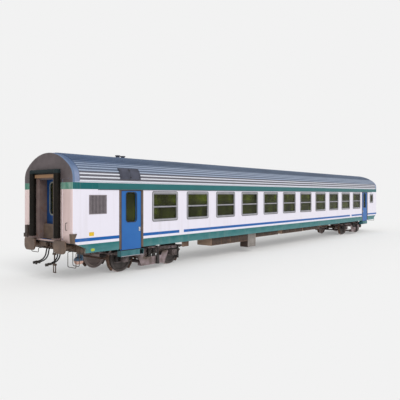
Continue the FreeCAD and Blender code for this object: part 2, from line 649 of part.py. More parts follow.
def gangway_leaf():
    """Sliding door leaf of the front gangway with the hangers that run under its track."""
    x0, x1 = -PORTAL_BACK + RUNNING_GAP, -PORTAL_BACK + RUNNING_GAP + GANGWAY_LEAF
    high = rail(GANGWAY_HIGH_H)
    leaf = block(x0, x1, -GANGWAY_LEAF_HALF, GANGWAY_LEAF_HALF, rail(FLOOR_H) + RUNNING_GAP, high)
    sight_low, sight_high = rail(GANGWAY_LEAF_WINDOW_LOW_H), rail(GANGWAY_LEAF_WINDOW_HIGH_H)
    leaf = leaf.cut(rounded_end_plate(0, 2 * GANGWAY_LEAF_WINDOW_HALF, sight_low, sight_high,
                                      GANGWAY_LEAF_WINDOW_CORNER, x0 - 1, x1 + 1))
    hangers = [block(x0 + 5, x1 - 5, y - 40, y + 40, high - 5, high + RUNNING_GAP + 4 - FIT)
               for y in (-HANGER_OFFSET, HANGER_OFFSET)]
    return joined([leaf] + hangers)


def gangway_pane():
    x0 = -PORTAL_BACK + RUNNING_GAP + GANGWAY_LEAF
    half = GANGWAY_LEAF_WINDOW_HALF + PANE_LAP
    return block(x0, x0 + PANE, -half, half, rail(GANGWAY_LEAF_WINDOW_LOW_H) - PANE_LAP,
                 rail(GANGWAY_LEAF_WINDOW_HIGH_H) + PANE_LAP)


def bellows():
    """Rubber bellows: a thick tube on each side, a thinner one over the top, and their mounting flange."""
    low, top = rail(BELLOWS_LOW_H), rail(BELLOWS_TOP_H)
    radius, top_radius = BELLOWS_DIAMETER / 2, BELLOWS_TOP_DIAMETER / 2
    pieces = []
    for side in (-1, 1):
        leg = Part.makeCylinder(radius, top + top_radius - low, Vector(-BELLOWS_X, side * BELLOWS_Y, low))
        pieces.append(leg.makeFillet(BELLOWS_CORNER, [e for e in leg.Edges if e.BoundBox.ZMin > top]))
    pieces.append(rod(Vector(-BELLOWS_X, -BELLOWS_Y, top), Vector(-BELLOWS_X, BELLOWS_Y, top), top_radius))
    outer, inner = BELLOWS_Y + BELLOWS_FLANGE_HALF, BELLOWS_Y - BELLOWS_FLANGE_HALF
    x_front, x_back = -HALF_LENGTH - BELLOWS_FLANGE - 14, -HALF_LENGTH - FIT
    flange = block(x_front, x_back, -outer, outer, low, top + BELLOWS_FLANGE_HALF)
    flange = flange.cut(block(x_front - 1, x_back + 1, -inner, inner, low - 1, top - BELLOWS_FLANGE_HALF))
    web = block(-BELLOWS_X, x_back, -outer, outer, top - 20, top + 20)
    return joined(pieces + [flange, web])


def fall_plate():
    """Bridge plate of the front gangway, raised, with its hinge tube."""
    x, z = -FALL_PIN_X, rail(FALL_PIN_H)
    half = FALL_PLATE_HALF
    plate = block(x - FALL_PLATE / 2, x + FALL_PLATE / 2, -half, half, z, rail(FALL_PLATE_HIGH_H))
    tube = rod(Vector(x, -half, z), Vector(x, half, z), FALL_TUBE_RADIUS)
    bore = rod(Vector(x, -half - 1, z), Vector(x, half + 1, z), FALL_PIN_RADIUS + JOURNAL_GAP)
    return joined([plate, tube]).cut(bore)


# ---- end fittings -------------------------------------------------------------------------
def buffer(side):
    """A front buffer: socket on the headstock, ram and wide head with rounded corners."""
    y, z = side * BUFFER_Y, rail(BUFFER_H)
    face, root = -BUFFER_FACE, -HEADSTOCK_FACE
    sleeve_end = root - (BUFFER_FACE - HEADSTOCK_FACE) * BUFFER_SLEEVE_SHARE
    plate = block(root - BUFFER_PLATE, root, y - BUFFER_PLATE_HALF, y + BUFFER_PLATE_HALF, z - 150, z + 85)
    sleeve = rod(Vector(root, y, z), Vector(sleeve_end, y, z), BUFFER_SLEEVE_RADIUS)
    ram = rod(Vector(sleeve_end, y, z), Vector(face + BUFFER_HEAD / 2, y, z), BUFFER_RAM_RADIUS)
    head = block(face, face + BUFFER_HEAD, y - BUFFER_HEAD_WIDTH / 2, y + BUFFER_HEAD_WIDTH / 2,
                 z - BUFFER_HEAD_HEIGHT / 2, z + BUFFER_HEAD_HEIGHT / 2)
    corners = [e for e in head.Edges if abs(e.tangentAt(e.FirstParameter).x) > 0.9]
    head = head.makeFillet(BUFFER_CORNER_TOP, [e for e in corners if e.BoundBox.ZMin > z])
    corners = [e for e in head.Edges if abs(e.tangentAt(e.FirstParameter).x) > 0.9 and e.BoundBox.XLength > 10
               and e.BoundBox.ZMax < z - BUFFER_HEAD_HEIGHT / 2 + 1]
    head = head.makeFillet(BUFFER_CORNER_LOW, corners)
    return joined([plate, sleeve, ram, head])


def draw_hook():
    """Draw hook with its guide plate on the front headstock."""
    root, z = -HEADSTOCK_FACE, rail(BUFFER_H)
    nose = root - HOOK_FROM_FACE
    shank = HOOK_SHANK
    plate = block(root - BUFFER_PLATE, root, -150, 150, z - 110, z + 90)
    profile = [(root, z - shank), (nose + 2 * shank, z - shank - 10), (nose + 10, z - 20), (nose, z + 80),
               (nose + 55, z + 80), (nose + 70, z + 25), (nose + 110, z + 25), (nose + 125, z + 75),
               (nose + 160, z + shank), (root, z + shank)]
    hook = outline_xz(profile, -28, 28)
    return joined([plate, hook])


def screw_coupling():
    """Screw coupling hanging from the front hook's pin: links, screw and end shackle."""
    x, z = -HEADSTOCK_FACE - COUPLING_FROM_FACE, rail(BUFFER_H)
    low = rail(COUPLING_LOW_H)
    drop = z - low
    upper_nut, lower_nut = z - 0.34 * drop, z - 0.72 * drop
    bar = COUPLING_BAR
    pieces = []
    for side in (-1, 1):
        pieces.append(rod(Vector(x, side * (28 + FIT), z), Vector(x, side * 70, z), 20))
        pieces.append(rod(Vector(x, side * 52, z), Vector(x, side * 52, upper_nut), bar))
        pieces.append(rod(Vector(x, side * 60, lower_nut), Vector(x, side * 60, low), bar))
    pieces.append(block(x - 28, x + 28, -80, 80, upper_nut - 30, upper_nut + 30))
    pieces.append(rod(Vector(x, 0, upper_nut), Vector(x, 0, lower_nut - 40), 22))
    pieces.append(block(x - 28, x + 28, -84, 84, lower_nut - 30, lower_nut + 30))
    pieces.append(rod(Vector(x, -60 - bar, low), Vector(x, 60 + bar, low), bar + 1))
    return joined(pieces)


def bent_bar(points, radius, bend):
    """A round bar along points, with its corners bent to a radius."""
    edges = []
    start = points[0]
    for i in range(1, len(points) - 1):
        a, b, c = points[i - 1], points[i], points[i + 1]
        u, v = (a - b).normalize(), (c - b).normalize()
        half = math.pi / 2 - u.getAngle(v) / 2
        reach = bend * math.tan(half)
        first, last = b + u * reach, b + v * reach
        mid_way = (u + v).normalize()
        middle = b + mid_way * (bend / math.cos(half) - bend)
        edges.append(Part.makeLine(start, first))
        edges.append(Part.Arc(first, middle, last).toShape())
        start = last
    edges.append(Part.makeLine(start, points[-1]))
    path = Part.Wire(edges)
    ring = Part.Wire(Part.makeCircle(radius, points[0], points[1] - points[0]))
    return path.makePipeShell([ring], True, False)


def front_stirrup(side, low):
    """A stirrup bent forward out of the headstock, its rung at a height."""
    root, x = -HEADSTOCK_FACE, -HEADSTOCK_FACE - FRONT_STEP_OUT
    y0, y1 = side * CORNER_STEP_INNER, side * (CORNER_STEP_OUTER + 30)
    high = rail(HEADSTOCK_LOW_H) + CORNER_STEP_BAR + 2
    return bent_bar([Vector(root, y0, high), Vector(x, y0, high), Vector(x, y0, low), Vector(x, y1, low),
                     Vector(x, y1, high), Vector(root, y1, high)], CORNER_STEP_BAR, 45)


def corner_steps(side):
    """The two stirrup steps under a front corner, one in front of the other, on the headstock."""
    x = -HEADSTOCK_FACE - CORNER_STEP_BAR
    low, high = rail(CORNER_STEP_LOW_H), rail(HEADSTOCK_LOW_H) + 28
    y0, y1 = side * CORNER_STEP_INNER, side * CORNER_STEP_OUTER
    back = bent_bar([Vector(x, y0 + side * 60, high), Vector(x, y0 + side * 60, low), Vector(x, y1, low),
                     Vector(x, y1, high)], CORNER_STEP_BAR, 60)
    return [back, front_stirrup(side, rail(FRONT_STEP_LOW_H))]


def socket_box():
    """Box for the heating cable's plug on the front end wall's left side."""
    x = -HALF_LENGTH - SOCKET_BOX_DEPTH
    box = block(x, -HALF_LENGTH - FIT, SOCKET_BOX_INNER, SOCKET_BOX_OUTER, rail(SOCKET_BOX_LOW_H),
                rail(SOCKET_BOX_HIGH_H))
    box = box.makeFillet(18, [e for e in box.Edges if e.BoundBox.XMax < x + 1])
    step = block(x - 22, -HALF_LENGTH - FIT, SOCKET_BOX_INNER - 25, SOCKET_BOX_OUTER + 25,
                 rail(SOCKET_BOX_LOW_H), rail(SOCKET_BOX_LOW_H) + 130)
    return joined([box, step])


def lamp_bracket(side):
    """Tail-lamp bracket that wraps round a front corner and narrows downwards."""
    front, back = -HALF_LENGTH - LAMP_BRACKET_OUT, -HALF_LENGTH + LAMP_BRACKET_BACK
    middle = -HALF_LENGTH
    high, waist, low = rail(LAMP_BRACKET_HIGH_H), rail(LAMP_BRACKET_WAIST_H), rail(LAMP_BRACKET_LOW_H)
    profile = [(front, high), (back, high), (middle + 0.45 * LAMP_BRACKET_BACK, waist),
               (middle + 0.55 * LAMP_BRACKET_BACK, low), (front + 25, low), (front + 25, waist)]
    body = outline_xz(profile, side * LAMP_BRACKET_INNER, side * (HALF_WIDTH + LAMP_BRACKET_PROUD))
    core = block(-HALF_LENGTH - FIT, back + 1, 0, side * (HALF_WIDTH + FIT), low - 1, high + 1)
    return body.cut(core)


# ---- brake hoses --------------------------------------------------------------------------
HOSE_RADIUS = 22.0
HOSE_COCK_H = 985.0
HOSE_MOUTH_OUT = 110.0       # the cock's mouth in front of the headstock
HOSE_MOUTH_DROP = 50.0
# rows of node, y of the cock, then the hose's points as (forward, sideways, up) from the cock's mouth
HOSES = [
    ("air_hose_1", 250.0, [(0, 0, 0), (30, 2, -95), (42, 6, -215),
                           (98, 12, -320), (192, 16, -394), (309, 18, -420)]),
    ("air_hose_2", 390.0, [(0, 0, 0), (34, -3, -93), (50, -6, -212),
                           (110, -8, -316), (206, -6, -388), (322, -2, -412)]),
    ("air_hose_3", -290.0, [(0, 0, 0), (26, 3, -96), (34, 8, -216),
                           (86, 10, -324), (178, 8, -401), (294, 4, -430)]),
    ("air_hose_4", -430.0, [(0, 0, 0), (36, -4, -92), (52, -8, -211),
                           (112, -10, -315), (208, -6, -387), (324, 2, -411)]),
]


def tangent_tube(points, radius):
    """A hose: straight runs joined by tangent arcs as large as the runs allow."""
    edges = []
    start = points[0]
    length = 0.0
    for i in range(1, len(points) - 1):
        a, b, c = points[i - 1], points[i], points[i + 1]
        run = min((b - a).Length, (c - b).Length)
        u, v = (a - b).normalize(), (c - b).normalize()
        half = (math.pi - u.getAngle(v)) / 2
        bend = 0.45 * run / math.tan(half)
        print("hose bend radius %.0f mm, turn %.0f degrees" % (bend, math.degrees(2 * half)))
        reach = bend * math.tan(half)
        first, last = b + u * reach, b + v * reach
        middle = b + (u + v).normalize() * (bend / math.cos(half) - bend)
        edges.append(Part.makeLine(start, first))
        edges.append(Part.Arc(first, middle, last).toShape())
        length += (first - start).Length + 2 * half * bend
        start = last
    edges.append(Part.makeLine(start, points[-1]))
    length += (points[-1] - start).Length
    ring = Part.Wire(Part.makeCircle(radius, points[0], points[1] - points[0]))
    tube = Part.Wire(edges).makePipeShell([ring], True, False)
    ratio = tube.Volume / (math.pi * radius ** 2 * length)
    print("hose length %.0f mm, volume over section times length %.4f" % (length, ratio))
    return tube


def hose_mouth(y):
    return Vector(-HEADSTOCK_FACE - HOSE_MOUTH_OUT, y, rail(HOSE_COCK_H) - HOSE_MOUTH_DROP)


def hose_points(y, offsets):
    mouth = hose_mouth(y)
    return [mouth + Vector(-forward, sideways, up) for forward, sideways, up in offsets]


def hose_cock(y, offsets):
    """Pipe stub and cock on the headstock that a hose leaves from."""
    points = hose_points(y, offsets)
    mouth, way = points[0], (points[1] - points[0]).normalize()
    root = -HEADSTOCK_FACE
    z = mouth.z + HOSE_MOUTH_DROP
    body_x = mouth.x + 35
    stub = rod(Vector(root, y, z), Vector(body_x, y, z), 26)
    knee = rod(mouth - way * 62, mouth, 27)
    handle = block(body_x + 20, body_x + 38, y - 8, y + 8, z + 10, z + 95)
    return joined([stub, knee, handle, Part.makeSphere(40, Vector(body_x, y, z - 4))])


def hose_head(y, offsets):
    """Cast coupling head on a hose's end, its mouth turned forward."""
    points = hose_points(y, offsets)
    end, way = points[-1], (points[-1] - points[-2]).normalize()
    centre = end + way * 55
    neck = rod(end, centre, 25)
    knuckle = rod(centre + Vector(0, -38, 0), centre + Vector(0, 38, 0), 36)
    head = rod(centre, centre + Vector(-120, 0, 0), 31)
    lug = block(centre.x - 120, centre.x - 70, centre.y - 22, centre.y + 22, centre.z - 58, centre.z - 10)
    return joined([neck, knuckle, head, lug])


# ---- interior -----------------------------------------------------------------------------
PARTITION_X = HALF_LENGTH - PARTITION_FROM_END


def lining(x0, x1):
    """The room inside the body between two places along it."""
    return arch(x0, x1, rail(FLOOR_H), WALL + FIT)


def partition():
    """Front vestibule partition with its doorway."""
    wall = block(-PARTITION_X - PARTITION / 2, -PARTITION_X + PARTITION / 2, -INNER_HALF, INNER_HALF,
                 rail(FLOOR_H), rail(CEILING_H))
    doorway = block(-PARTITION_X - 100, -PARTITION_X + 100, -SALOON_DOORWAY_HALF, SALOON_DOORWAY_HALF,
                    0, rail(SALOON_DOORWAY_HIGH_H))
    return wall.cut(doorway).common(lining(-PARTITION_X - 100, -PARTITION_X + 100))


def washroom(side):
    """Walls of one closed room between the gangway and an entrance, open to the side wall."""
    x0, x1 = -(HALF_LENGTH - WASHROOM_FROM_END), -(HALF_LENGTH - WASHROOM_TO_END)
    y0 = side * WASHROOM_CORRIDOR_HALF
    room = block(x0, x1, y0, side * INNER_HALF, rail(FLOOR_H), rail(CEILING_H))
    inside = block(x0 + WASHROOM_WALL, x1 - WASHROOM_WALL, y0 + side * WASHROOM_WALL, side * (INNER_HALF + 1),
                   rail(FLOOR_H) - 1, rail(CEILING_H) + 1)
    return room.cut(inside).common(lining(x0 - 1, x1 + 1))


def ceiling():
    rise = CEILING_H + CEILING_THICKNESS - SPRING_LINE_H
    half_top = SHOULDER_Y + math.sqrt((SHOULDER_RADIUS - WALL) ** 2 - rise ** 2)
    return block(-WALL_END, WALL_END, -half_top + FIT, half_top - FIT, rail(CEILING_H),
                 rail(CEILING_H + CEILING_THICKNESS))


def bench(x, side, facing):
    """A two-seat bench against the side wall; facing is -1 or 1 along X."""
    z = rail(FLOOR_H)
    back = [(0, SEAT_TOP - SEAT_CUSHION), (SEAT_DEPTH + SEAT_BACK, SEAT_TOP - SEAT_CUSHION),
            (SEAT_DEPTH + SEAT_BACK, SEAT_TOP - 20), (SEAT_DEPTH + SEAT_BACK - 20, SEAT_TOP),
            (SEAT_BACK + 20, SEAT_TOP - 25), (SEAT_BACK - 25, SEAT_BACK_TOP - 30),
            (SEAT_BACK - 50, SEAT_BACK_TOP), (0, SEAT_BACK_TOP)]
    y0 = side * (INNER_HALF - FIT)
    return outline_xz([(x + facing * u, z + v) for u, v in back], y0, y0 - side * SEAT_WIDTH)


def bench_stand(x, side, facing):
    """The stand under a bench."""
    z = rail(FLOOR_H)
    y0 = side * (INNER_HALF - 120)
    return block(x + facing * 60, x + facing * (SEAT_DEPTH - 40), y0, y0 - side * (SEAT_WIDTH - 240), z,
                 z + SEAT_TOP - SEAT_CUSHION - FIT)


BENCH_PLACES = []
BENCH_ROW_END = PARTITION_X - PARTITION / 2 - 15
for i in range(WINDOW_COUNT + 1):
    for side in (-1, 1):
        place = (i - WINDOW_COUNT / 2) * WINDOW_PITCH - side * WINDOW_ROW_SHIFT
        place = max(-BENCH_ROW_END, min(BENCH_ROW_END, place))
        for facing in (-1, 1):
            if (i == 0 and facing < 0) or (i == WINDOW_COUNT and facing > 0):
                continue
            BENCH_PLACES.append((place + facing * 12, side, facing))


# ---- roof fittings ------------------------------------------------------------------------
HATCH_LENGTH = 900.0
HATCH_SHIFT = 62.0             # towards the end of the body from the entrance's middle
HATCH_LOW_H = SPRING_LINE_H + 10.0
HATCH_SPREAD = 375.0
HATCH_HIGH_H = HATCH_LOW_H + HATCH_SPREAD
HATCH_RISE = 38.0
HATCH_SEAM = 8.0
VENT_TABLE = [(2870.0, 100.0, 95.0), (3110.0, 100.0, 80.0)]   # from the end, radius, height


def roof_hatch():
    """Raised two-part service hatch on the roof's right shoulder, over the front entrance."""
    half = HATCH_LENGTH / 2
    x = -DOOR_X - HATCH_SHIFT
    outer = arch(x - half, x + half, rail(HATCH_LOW_H) - 100, -HATCH_RISE)
    inner = arch(x - half - 1, x + half + 1, rail(HATCH_LOW_H) - 101, -RIB_HEIGHT - FIT)
    window = block(x - half - 2, x + half + 2, -HALF_WIDTH - 100, 0, rail(HATCH_LOW_H), rail(HATCH_HIGH_H))
    seam = arch(x - HATCH_SEAM / 2, x + HATCH_SEAM / 2, rail(HATCH_LOW_H) - 102, -HATCH_RISE - 1)
    seam = seam.cut(arch(x - half, x + half, rail(HATCH_LOW_H) - 103, -HATCH_RISE + HATCH_SEAM))
    return outer.cut(inner).common(window).cut(seam)


def roof_vent(x, radius, height):
    """A domed vent on the ridge."""
    z = rail(RIDGE_H) + RIB_HEIGHT + FIT
    stem = Part.makeCylinder(radius * 0.7, height * 0.6, Vector(x, 0, z))
    cap = Part.makeCylinder(radius, height * 0.4, Vector(x, 0, z + height * 0.5))
    cap = cap.makeFillet(height * 0.3, [e for e in cap.Edges if e.BoundBox.ZMin > z + height * 0.85])
    return joined([stem, cap])


# ---- equipment under the floor ------------------------------------------------------------
# rows of the near and far end as shares of the bogies' distance from the middle, y0, y1, bottom and top
FLOOR_UNDERSIDE_H = FLOOR_H - FLOOR_THICKNESS
EQUIPMENT_IN = 162.5            # faces of the boxes inside the body side
BOX_FACE = HALF_WIDTH - EQUIPMENT_IN
EQUIPMENT = [
    ("batteries", -0.653, -0.376, -BOX_FACE, -450, 525, UNDERFRAME_LOW_H),
    ("brake control", -0.301, -0.086, -BOX_FACE, -500, 640, UNDERFRAME_LOW_H),
    ("heating", -0.044, 0.187, -BOX_FACE, -450, 640, UNDERFRAME_LOW_H),
    ("electric switchgear", 0.197, 0.406, -BOX_FACE, -600, 650, UNDERFRAME_LOW_H),
    ("terminal box", 0.430, 0.545, -BOX_FACE, -800, 760, UNDERFRAME_LOW_H),
    ("cable box", -0.837, -0.804, -BOX_FACE, 85 - BOX_FACE, 645, FLOOR_UNDERSIDE_H),
    ("compressor", -0.337, 0.084, 850, BOX_FACE, 600, UNDERFRAME_LOW_H),
]
CONVERTER = ("converter", -0.372, -0.303, -BOX_FACE, -810, 232, UNDERFRAME_LOW_H)
# rows of the near end as a share of the bogies' distance from the middle, y, axis height
RESERVOIRS = [(0.116, BOX_FACE - 250, 690), (0.284, BOX_FACE - 250, 690), (0.453, BOX_FACE - 250, 690)]
RESERVOIR_RADIUS = 190.0
RESERVOIR_LENGTH = 1400.0
END_RESERVOIR_FROM_END = 530.0
END_RESERVOIR_Y = -775.0
END_RESERVOIR_H = 565.0
END_RESERVOIR_RADIUS = 125.0
END_RESERVOIR_LENGTH = 250.0


def equipment_box(name, start, finish, y0, y1, low, top):
    """One box; its name is only for the reader of the table."""
    box = block(start * BOGIE_X, finish * BOGIE_X, y0, y1, rail(low), rail(top))
    edges = [e for e in box.Edges if e.BoundBox.ZMax < rail(low) + 1 and e.BoundBox.XLength > 10]
    return box.makeFillet(25, edges)


def reservoir(x, y, height, radius, length, top, shares=(0.2, 0.8)):
    """Air reservoir with domed ends and its two hangers."""
    z = rail(height)
    shell = Part.makeCylinder(radius, length, Vector(x, y, z), Vector(1, 0, 0))
    shell = shell.makeFillet(0.47 * radius, [e for e in shell.Edges if e.Closed and e.BoundBox.XLength < 1])
    hangers = [block(x + d - 20, x + d + 20, y - radius - 12, y + radius + 12, z, top)
               for d in [share * length for share in shares]]
    return joined([shell] + hangers)


# ---- bogies, drawn at the front bogie's place ------------------------------------------------
def both_sides(shape):
    return [shape, mirrored_y(shape)]


def four_corners(shape, x_mid):
    """A piece at one corner of a bogie, repeated at the other three."""
    across = shape.mirror(Vector(x_mid, 0, 0), Vector(1, 0, 0))
    return both_sides(shape) + both_sides(across)


def wheelset(x):
    """An axle with its two wheels."""
    z = rail(AXLE_H)
    back, face = WHEEL_BACK, WHEEL_BACK + WHEEL_WIDTH
    tread, flange = WHEEL_RADIUS, WHEEL_RADIUS + FLANGE_DEPTH
    rim = tread - 72
    # the wheel's section as (distance from the middle, radius)
    section = [(back - 12, AXLE_RADIUS - 1), (back - 12, 128), (back + 55, 128), (back + 62, 150),
               (back + 62, rim - 25), (back, rim), (back, flange - 10), (back + 9, flange),
               (back + 22, flange),
               (back + 32, tread + 6), (back + 40, tread), (face, tread - 3), (face, rim),
               (back + 90, rim - 25), (back + 90, 150),
               (face + 25, 128), (face + 25, AXLE_RADIUS - 1)]
    corners = [Vector(x, y, z + r) for y, r in section]
    ring = Part.Face(Part.makePolygon(corners + corners[:1]))
    wheel = ring.revolve(Vector(x, 0, z), Vector(0, 1, 0), 360)
    axle = rod(Vector(x, -face - 40, z), Vector(x, face + 40, z), AXLE_RADIUS)
    journals = rod(Vector(x, -JOURNAL_END, z), Vector(x, JOURNAL_END, z), JOURNAL_RADIUS)
    return joined([axle, journals, wheel, mirrored_y(wheel)])


def coil_spring(x, y, low, high, radius, turns):
    """A coil spring as a solid of revolution with rounded turns."""
    pitch = (high - low) / turns
    rings = [Part.makeCylinder(radius * 0.72, high - low, Vector(x, y, low))]
    for i in range(turns):
        middle = low + pitch * (i + 0.5)
        rings.append(Part.makeTorus(radius - pitch * 0.34, pitch * 0.34, Vector(x, y, middle)))
    return joined(rings)


def bogie_frame(x):
    """Two side beams joined by two transoms, with brackets for springs and pans."""
    low, top = rail(FRAME_BEAM_LOW_H), rail(FRAME_BEAM_TOP_H)
    end, taper = FRAME_BEAM_END, FRAME_BEAM_TAPER
    profile = [(x - end, top - 30), (x - end + taper, top), (x + end - taper, top), (x + end, top - 30),
               (x + end, top - 85), (x + end - taper, low), (x + BELLY_TOP, low), (x + BELLY_LOW, low - 60),
               (x - BELLY_LOW, low - 60), (x - BELLY_TOP, low), (x - end + taper, low), (x - end, top - 85)]
    beam = outline_xz(profile, -FRAME_BEAM_OUTER, -FRAME_BEAM_INNER)
    pieces = both_sides(beam)
    for side in (-1, 1):
        pieces.append(block(x + side * TRANSOM_NEAR, x + side * TRANSOM_FAR, -FRAME_BEAM_INNER,
                            FRAME_BEAM_INNER, low - 20, top - 20))
        pieces.append(block(x + side * (end - 25), x + side * (end - 85), -FRAME_BEAM_INNER, FRAME_BEAM_INNER,
                            top - 80, top - 35))
    arm_top = rail(PAN_ARM_TOP_H)
    bracket = block(x - PAN_ARM_OUTER, x - PAN_ARM_INNER - 60, -PAN_OUTER + PAN_SHEET, -FRAME_BEAM_INNER - 10,
                    arm_top - 70, arm_top)
    root = block(x - PAN_ARM_OUTER, x - PAN_ARM_INNER - 60, -FRAME_BEAM_OUTER - 12, -FRAME_BEAM_INNER - 10,
                 arm_top - 70, low + 20)
    pieces += four_corners(bracket.fuse(root), x)
    lug = block(x - BOGIE_WHEELBASE / 2 - 90, x - BOGIE_WHEELBASE / 2 + 90, -FRAME_BEAM_OUTER - 60,
                -FRAME_BEAM_OUTER, low + 10, top - 20)
    pieces += four_corners(lug, x)
    return joined(pieces)


def spring_pans(x):
    """The low trough on each side that carries the secondary springs, and the plank between them."""
    low, top, arm_top = rail(PAN_LOW_H), rail(PAN_TOP_H), rail(PAN_ARM_TOP_H)
    inner_top = PAN_ARM_INNER - 90
    profile = [(x - PAN_HALF, low), (x + PAN_HALF, low), (x + PAN_ARM_OUTER, arm_top),
               (x + PAN_ARM_INNER, arm_top), (x + inner_top, top), (x - inner_top, top),
               (x - PAN_ARM_INNER, arm_top), (x - PAN_ARM_OUTER, arm_top)]
    outer = outline_xz(profile, -PAN_OUTER, -PAN_OUTER + PAN_SHEET)
    floor_sheet = block(x - PAN_HALF, x + PAN_HALF, -PAN_OUTER, -PAN_INNER, low, low + PAN_SHEET)
    lip = block(x - PAN_HALF, x + PAN_HALF, -PAN_INNER - PAN_SHEET, -PAN_INNER, low, rail(PAN_LIP_H))
    ends = [block(x + side * PAN_HALF, x + side * (PAN_HALF - PAN_SHEET), -PAN_OUTER, -PAN_INNER, low,
                  rail(PAN_LIP_H)) for side in (-1, 1)]
    pan = joined([outer, floor_sheet, lip] + ends)
    plank = block(x - 170, x + 170, -PAN_INNER, PAN_INNER, low, low + 60)
    return joined(both_sides(pan) + [plank])


def bolster(x):
    """Cross beam over the secondary springs, with the centre pivot's bowl."""
    low, top = rail(BOLSTER_LOW_H), rail(BOLSTER_TOP_H)
    pieces = [block(x - BOLSTER_HALF - 60, x + BOLSTER_HALF + 60, -PAN_OUTER, PAN_OUTER, low, top)]
    pieces.append(block(x - BOLSTER_HALF, x + BOLSTER_HALF, -BOLSTER_BELLY_HALF, BOLSTER_BELLY_HALF,
                        low - BOLSTER_BELLY, low))
    pieces.append(Part.makeCylinder(PIVOT_RADIUS, rail(PIVOT_H) - PIVOT_PLATE - FIT - top, Vector(x, 0, top)))
    return joined(pieces)


def axle_box(x):
    """Axle box on the right-hand journal with two spring wings."""
    z = rail(AXLE_H)
    body = block(x - AXLE_BOX_HALF, x + AXLE_BOX_HALF, -AXLE_BOX_OUTER + 25, -FRAME_BEAM_INNER,
                 z - 115, z + 115)
    edges = [e for e in body.Edges if e.BoundBox.YLength > 100]
    body = body.makeFillet(40, edges)
    cover = rod(Vector(x, -AXLE_BOX_OUTER + 25, z), Vector(x, -AXLE_BOX_OUTER, z), 95)
    seat_low = rail(SPRING_SEAT_H) - SPRING_SEAT
    reach = PRIMARY_SPRING_OFFSET + PRIMARY_SPRING_RADIUS + 10
    wings = block(x - reach, x + reach, -FRAME_BEAM_OUTER - 5, -FRAME_BEAM_INNER + 5, seat_low,
                  rail(SPRING_SEAT_H))
    bore = rod(Vector(x, -JOURNAL_END - 2, z), Vector(x, 0, z), JOURNAL_RADIUS + JOURNAL_GAP)
    return joined([body, cover, wings]).cut(bore)


def primary_springs(x):
    """The two springs beside the right-hand axle box."""
    y = -(FRAME_BEAM_INNER + FRAME_BEAM_OUTER) / 2
    return [coil_spring(x + side * PRIMARY_SPRING_OFFSET, y, rail(SPRING_SEAT_H), rail(FRAME_BEAM_LOW_H),
                        PRIMARY_SPRING_RADIUS, 6) for side in (-1, 1)]


def shoe_wedge(axle_x, z, way, y, reach, middle, spread):
    """One straight-sided block of a brake shoe, at an angle above the axle's level."""
    a, half = math.radians(middle), math.radians(spread / 2)
    near, back = reach / math.cos(half), (reach + SHOE_THICKNESS) / math.cos(half)
    gap = FIT / 2 / reach
    corners = [(axle_x + way * r * math.cos(b), z + r * math.sin(b))
               for r, b in ((near, a - half + gap), (back, a - half + gap), (back, a + half - gap),
                            (near, a + half - gap))]
    return outline_xz(corners, y - SHOE_HALF, y + SHOE_HALF)


def brake_rigging(x):
    """Brake shoes on both sides of each wheel with their cross beams and hangers."""
    pieces = []
    z = rail(AXLE_H)
    hang = rail(FRAME_BEAM_LOW_H)
    reach = WHEEL_RADIUS + FLANGE_DEPTH + RUNNING_GAP
    back = reach + SHOE_THICKNESS
    wedge = (SHOE_TOP_ANGLE - SHOE_LOW_ANGLE) / SHOE_WEDGES
    for axle_side in (-1, 1):
        axle_x = x + axle_side * BOGIE_WHEELBASE / 2
        for way in (-1, 1):
            far = axle_x + way * (back + 10)
            parts = [block(far, far + way * 50, -BRAKE_BEAM_HALF, BRAKE_BEAM_HALF, z + 5, z + 60)]
            for side in (-1, 1):
                y = side * SHOE_Y
                for i in range(SHOE_WEDGES):
                    pieces.append(shoe_wedge(axle_x, z, way, y, reach, SHOE_LOW_ANGLE + wedge * (i + 0.5),
                                             wedge))
                top = math.radians(SHOE_TOP_ANGLE - wedge / 2)
                seat = [(axle_x + way * (back + FIT - up * math.sin(top)) / math.cos(top), z + up)
                        for up in (-PAD_DOWN, PAD_UP)]
                seat += [(far + way * 25, z + PAD_UP), (far + way * 25, z - PAD_DOWN)]
                parts.append(outline_xz(seat, y - 45, y + 45))
                parts.append(block(far, far + way * 25, y - 20, y + 20, z, hang - 20))
                parts.append(block(far, far + way * 25, y, side * FRAME_BEAM_INNER, hang - 20,
                                   hang + 40))
            pieces.append(joined(parts))
    return pieces


def damper(x, side):
    """Upright damper at an inboard axle box."""
    z_low, z_high = rail(DAMPER_LOW_H), rail(DAMPER_TOP_H)
    y = side * (FRAME_BEAM_OUTER + 50)
    body = rod(Vector(x, y, z_low), Vector(x, y, z_low + 240), 34)
    stem = rod(Vector(x, y, z_low + 240), Vector(x, y, z_high), 24)
    foot = block(x - 30, x + 30, side * (FRAME_BEAM_OUTER - 20), y + side * 20, z_low - 30, z_low + 10)
    head = block(x - 30, x + 30, side * FRAME_BEAM_OUTER, y + side * 30, z_high - 25, z_high + 15)
    arm = block(x - 30, x + 30, side * (FRAME_BEAM_OUTER - 60), side * (FRAME_BEAM_OUTER - 20), z_low - 30,
                rail(SPRING_SEAT_H) - SPRING_SEAT)
    return joined([body, stem, foot, head, arm])


def bolster_damper(x, side):
    """Upright damper between a spring pan and the end of the bolster."""
    y = side * (PAN_OUTER + 10 + BOLSTER_DAMPER_RADIUS)
    low, high = rail(PAN_LOW_H) + 10, rail(BOLSTER_TOP_H) - 10
    body = rod(Vector(x, y, low), Vector(x, y, low + BOLSTER_DAMPER_BODY), BOLSTER_DAMPER_RADIUS)
    stem = rod(Vector(x, y, low), Vector(x, y, high), BOLSTER_DAMPER_RADIUS / 2)
    y_seat = side * (PAN_OUTER + FIT)
    foot = block(x - 40, x + 40, y_seat, y, low + 10, low + 60)
    head = block(x - 40, x + 40, y_seat, y + side * 20, rail(BOLSTER_LOW_H) + 10, high)
    return joined([body, stem, foot, head])


